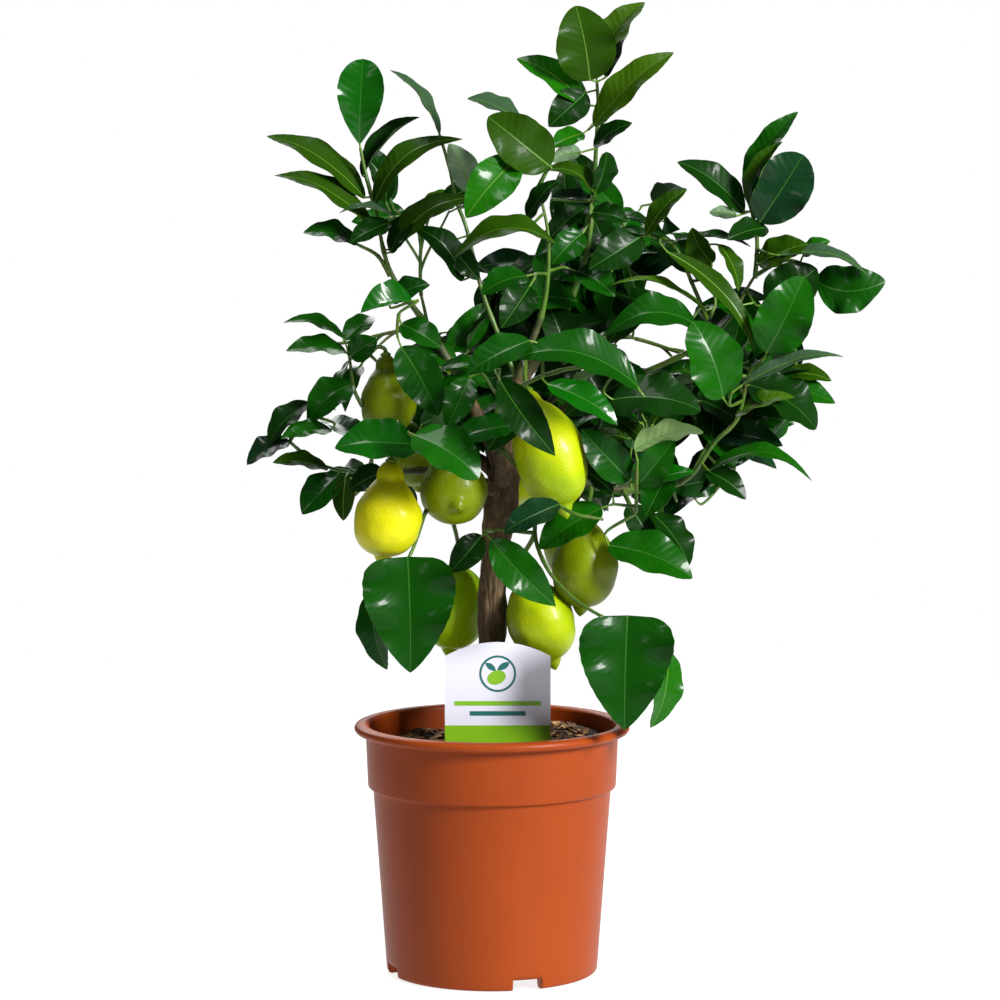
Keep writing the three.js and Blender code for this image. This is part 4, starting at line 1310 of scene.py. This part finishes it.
for k in range(170):
    radius, turn = (SOIL_RADIUS - 16) * sqrt(random.random()), random.uniform(0, tau)
    x, y = radius * cos(turn), radius * sin(turn)
    way, bend, reach = turned_way(), turned_way(), random.uniform(8, 22)
    if not clear_of_label_and_trunk(x, y, reach):
        continue
    start = np.array((x, y, soil_height(x, y) + 1.5))
    path = [start + way * reach * (t - 0.5) + bend * reach * 0.25 * sin(pi * t) for t in np.linspace(0, 1, 6)]
    tube(litter, path, np.full(6, 0.4), 5, 3)
chips = litter.make("bark_chips_and_coir", chip_finishes, smooth=False)
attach(chips, BODY)

# ---------------------------------------------------------------- label

LABEL_X, LABEL_FRONT, LABEL_HALF = 4.6, -48.2, 41.5
INK = 0.12

label_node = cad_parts["plant_label"]
label_node.data.materials.clear()
label_node.data.materials.append(label_sheet)


def print_patch(pile, outline, finish, layer=1):
    """A thin printed patch on the label's face, from an outline of places across and up."""
    outline = np.asarray(outline, float)
    count = len(outline)
    front, back = LABEL_FRONT - INK * layer, LABEL_FRONT - 0.01
    rim = [np.stack([LABEL_X + outline[:, 0], np.full(count, depth), outline[:, 1]], 1) for depth in (front, back)]
    middle = outline.mean(0)
    centres = np.array([(LABEL_X + middle[0], depth, middle[1]) for depth in (front, back)])
    ring = np.arange(count)
    after = (ring + 1) % count
    pile.add(np.vstack([*rim, centres]), np.stack([ring, ring + count, after + count, after], 1), finish)
    fronts = np.stack([np.full(count, 2 * count), ring, after], 1)
    backs = np.stack([np.full(count, 2 * count + 1), after + count, ring + count], 1)
    pile.more_faces(np.vstack([fronts, backs]), finish, 2 * count + 2)


def oval(x, z, across, up, tilt=0.0, point=1.0, count=40):
    """An oval outline; a point below 1 draws its two ends out like a leaf's."""
    turn = np.arange(count) * tau / count
    a, b = across / 2 * np.cos(turn), up / 2 * np.sin(turn) * np.abs(np.sin(turn)) ** (1 / point - 1)
    c, s = cos(tilt), sin(tilt)
    return np.stack([x + a * c - b * s, z + a * s + b * c], 1)


def bar(x, z, across, up):
    return [(x - across / 2, z - up / 2), (x + across / 2, z - up / 2), (x + across / 2, z + up / 2), (x - across / 2, z + up / 2)]


prints = Pile()
# A lime band along the foot of the face, and a plain lemon and two leaves on a round.
print_patch(prints, bar(0, 192.5, 2 * LABEL_HALF, 25), 0)
print_patch(prints, oval(0, 246, 29, 29), 1)
print_patch(prints, oval(0, 246, 25.5, 25.5), 2, 2)
print_patch(prints, oval(-1, 243, 15, 11, 0.35), 0, 3)
print_patch(prints, oval(-5.5, 251.5, 10, 4.6, 2.5, 0.6), 1, 3)
print_patch(prints, oval(4.6, 252, 11, 5, 0.55, 0.6), 1, 3)
print_patch(prints, bar(0, 222.5, 68, 3.6), 0)
print_patch(prints, bar(0, 214.5, 44, 3.6), 1)
ink = prints.make("label_print", [ink_finishes["lime"], ink_finishes["teal"], ink_finishes["white"]], smooth=False)
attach(ink, BODY)

# ---------------------------------------------------------------- floor and surroundings

floor = Pile()
floor_points = lathe(np.array([(0.05, 0), (400, 0), (800, 0), (1200, 0), (1700, 0)]), 96)
floor.add(floor_points, grid_faces(5, 96, True)[:, ::-1], 0)
floor_paint = material("pale_floor_paint", {"Base Color": "#7e7e7e", "Roughness": 0.8, "Emission Color": "#ffffff", "Emission Strength": 0.85})
floor_piece = floor.make("studio_floor", [floor_paint])
floor_piece.location.z = -0.0004

world = bpy.data.worlds.new("studio")
bpy.context.scene.world = world
world.use_nodes = True
tree = world.node_tree
tree.nodes.clear()
# The surroundings are seen as white, and light the tree softly from all sides.
dim = node(tree, "ShaderNodeBackground", inputs={"Color": (1, 1, 1, 1), "Strength": 0.12})
plain = node(tree, "ShaderNodeBackground", inputs={"Color": (1, 1, 1, 1), "Strength": 1.0})
rays = node(tree, "ShaderNodeLightPath")
both = node(tree, "ShaderNodeMixShader", inputs={0: rays.outputs["Is Camera Ray"], 1: dim.outputs[0], 2: plain.outputs[0]})
node(tree, "ShaderNodeOutputWorld", inputs={"Surface": both.outputs[0]})
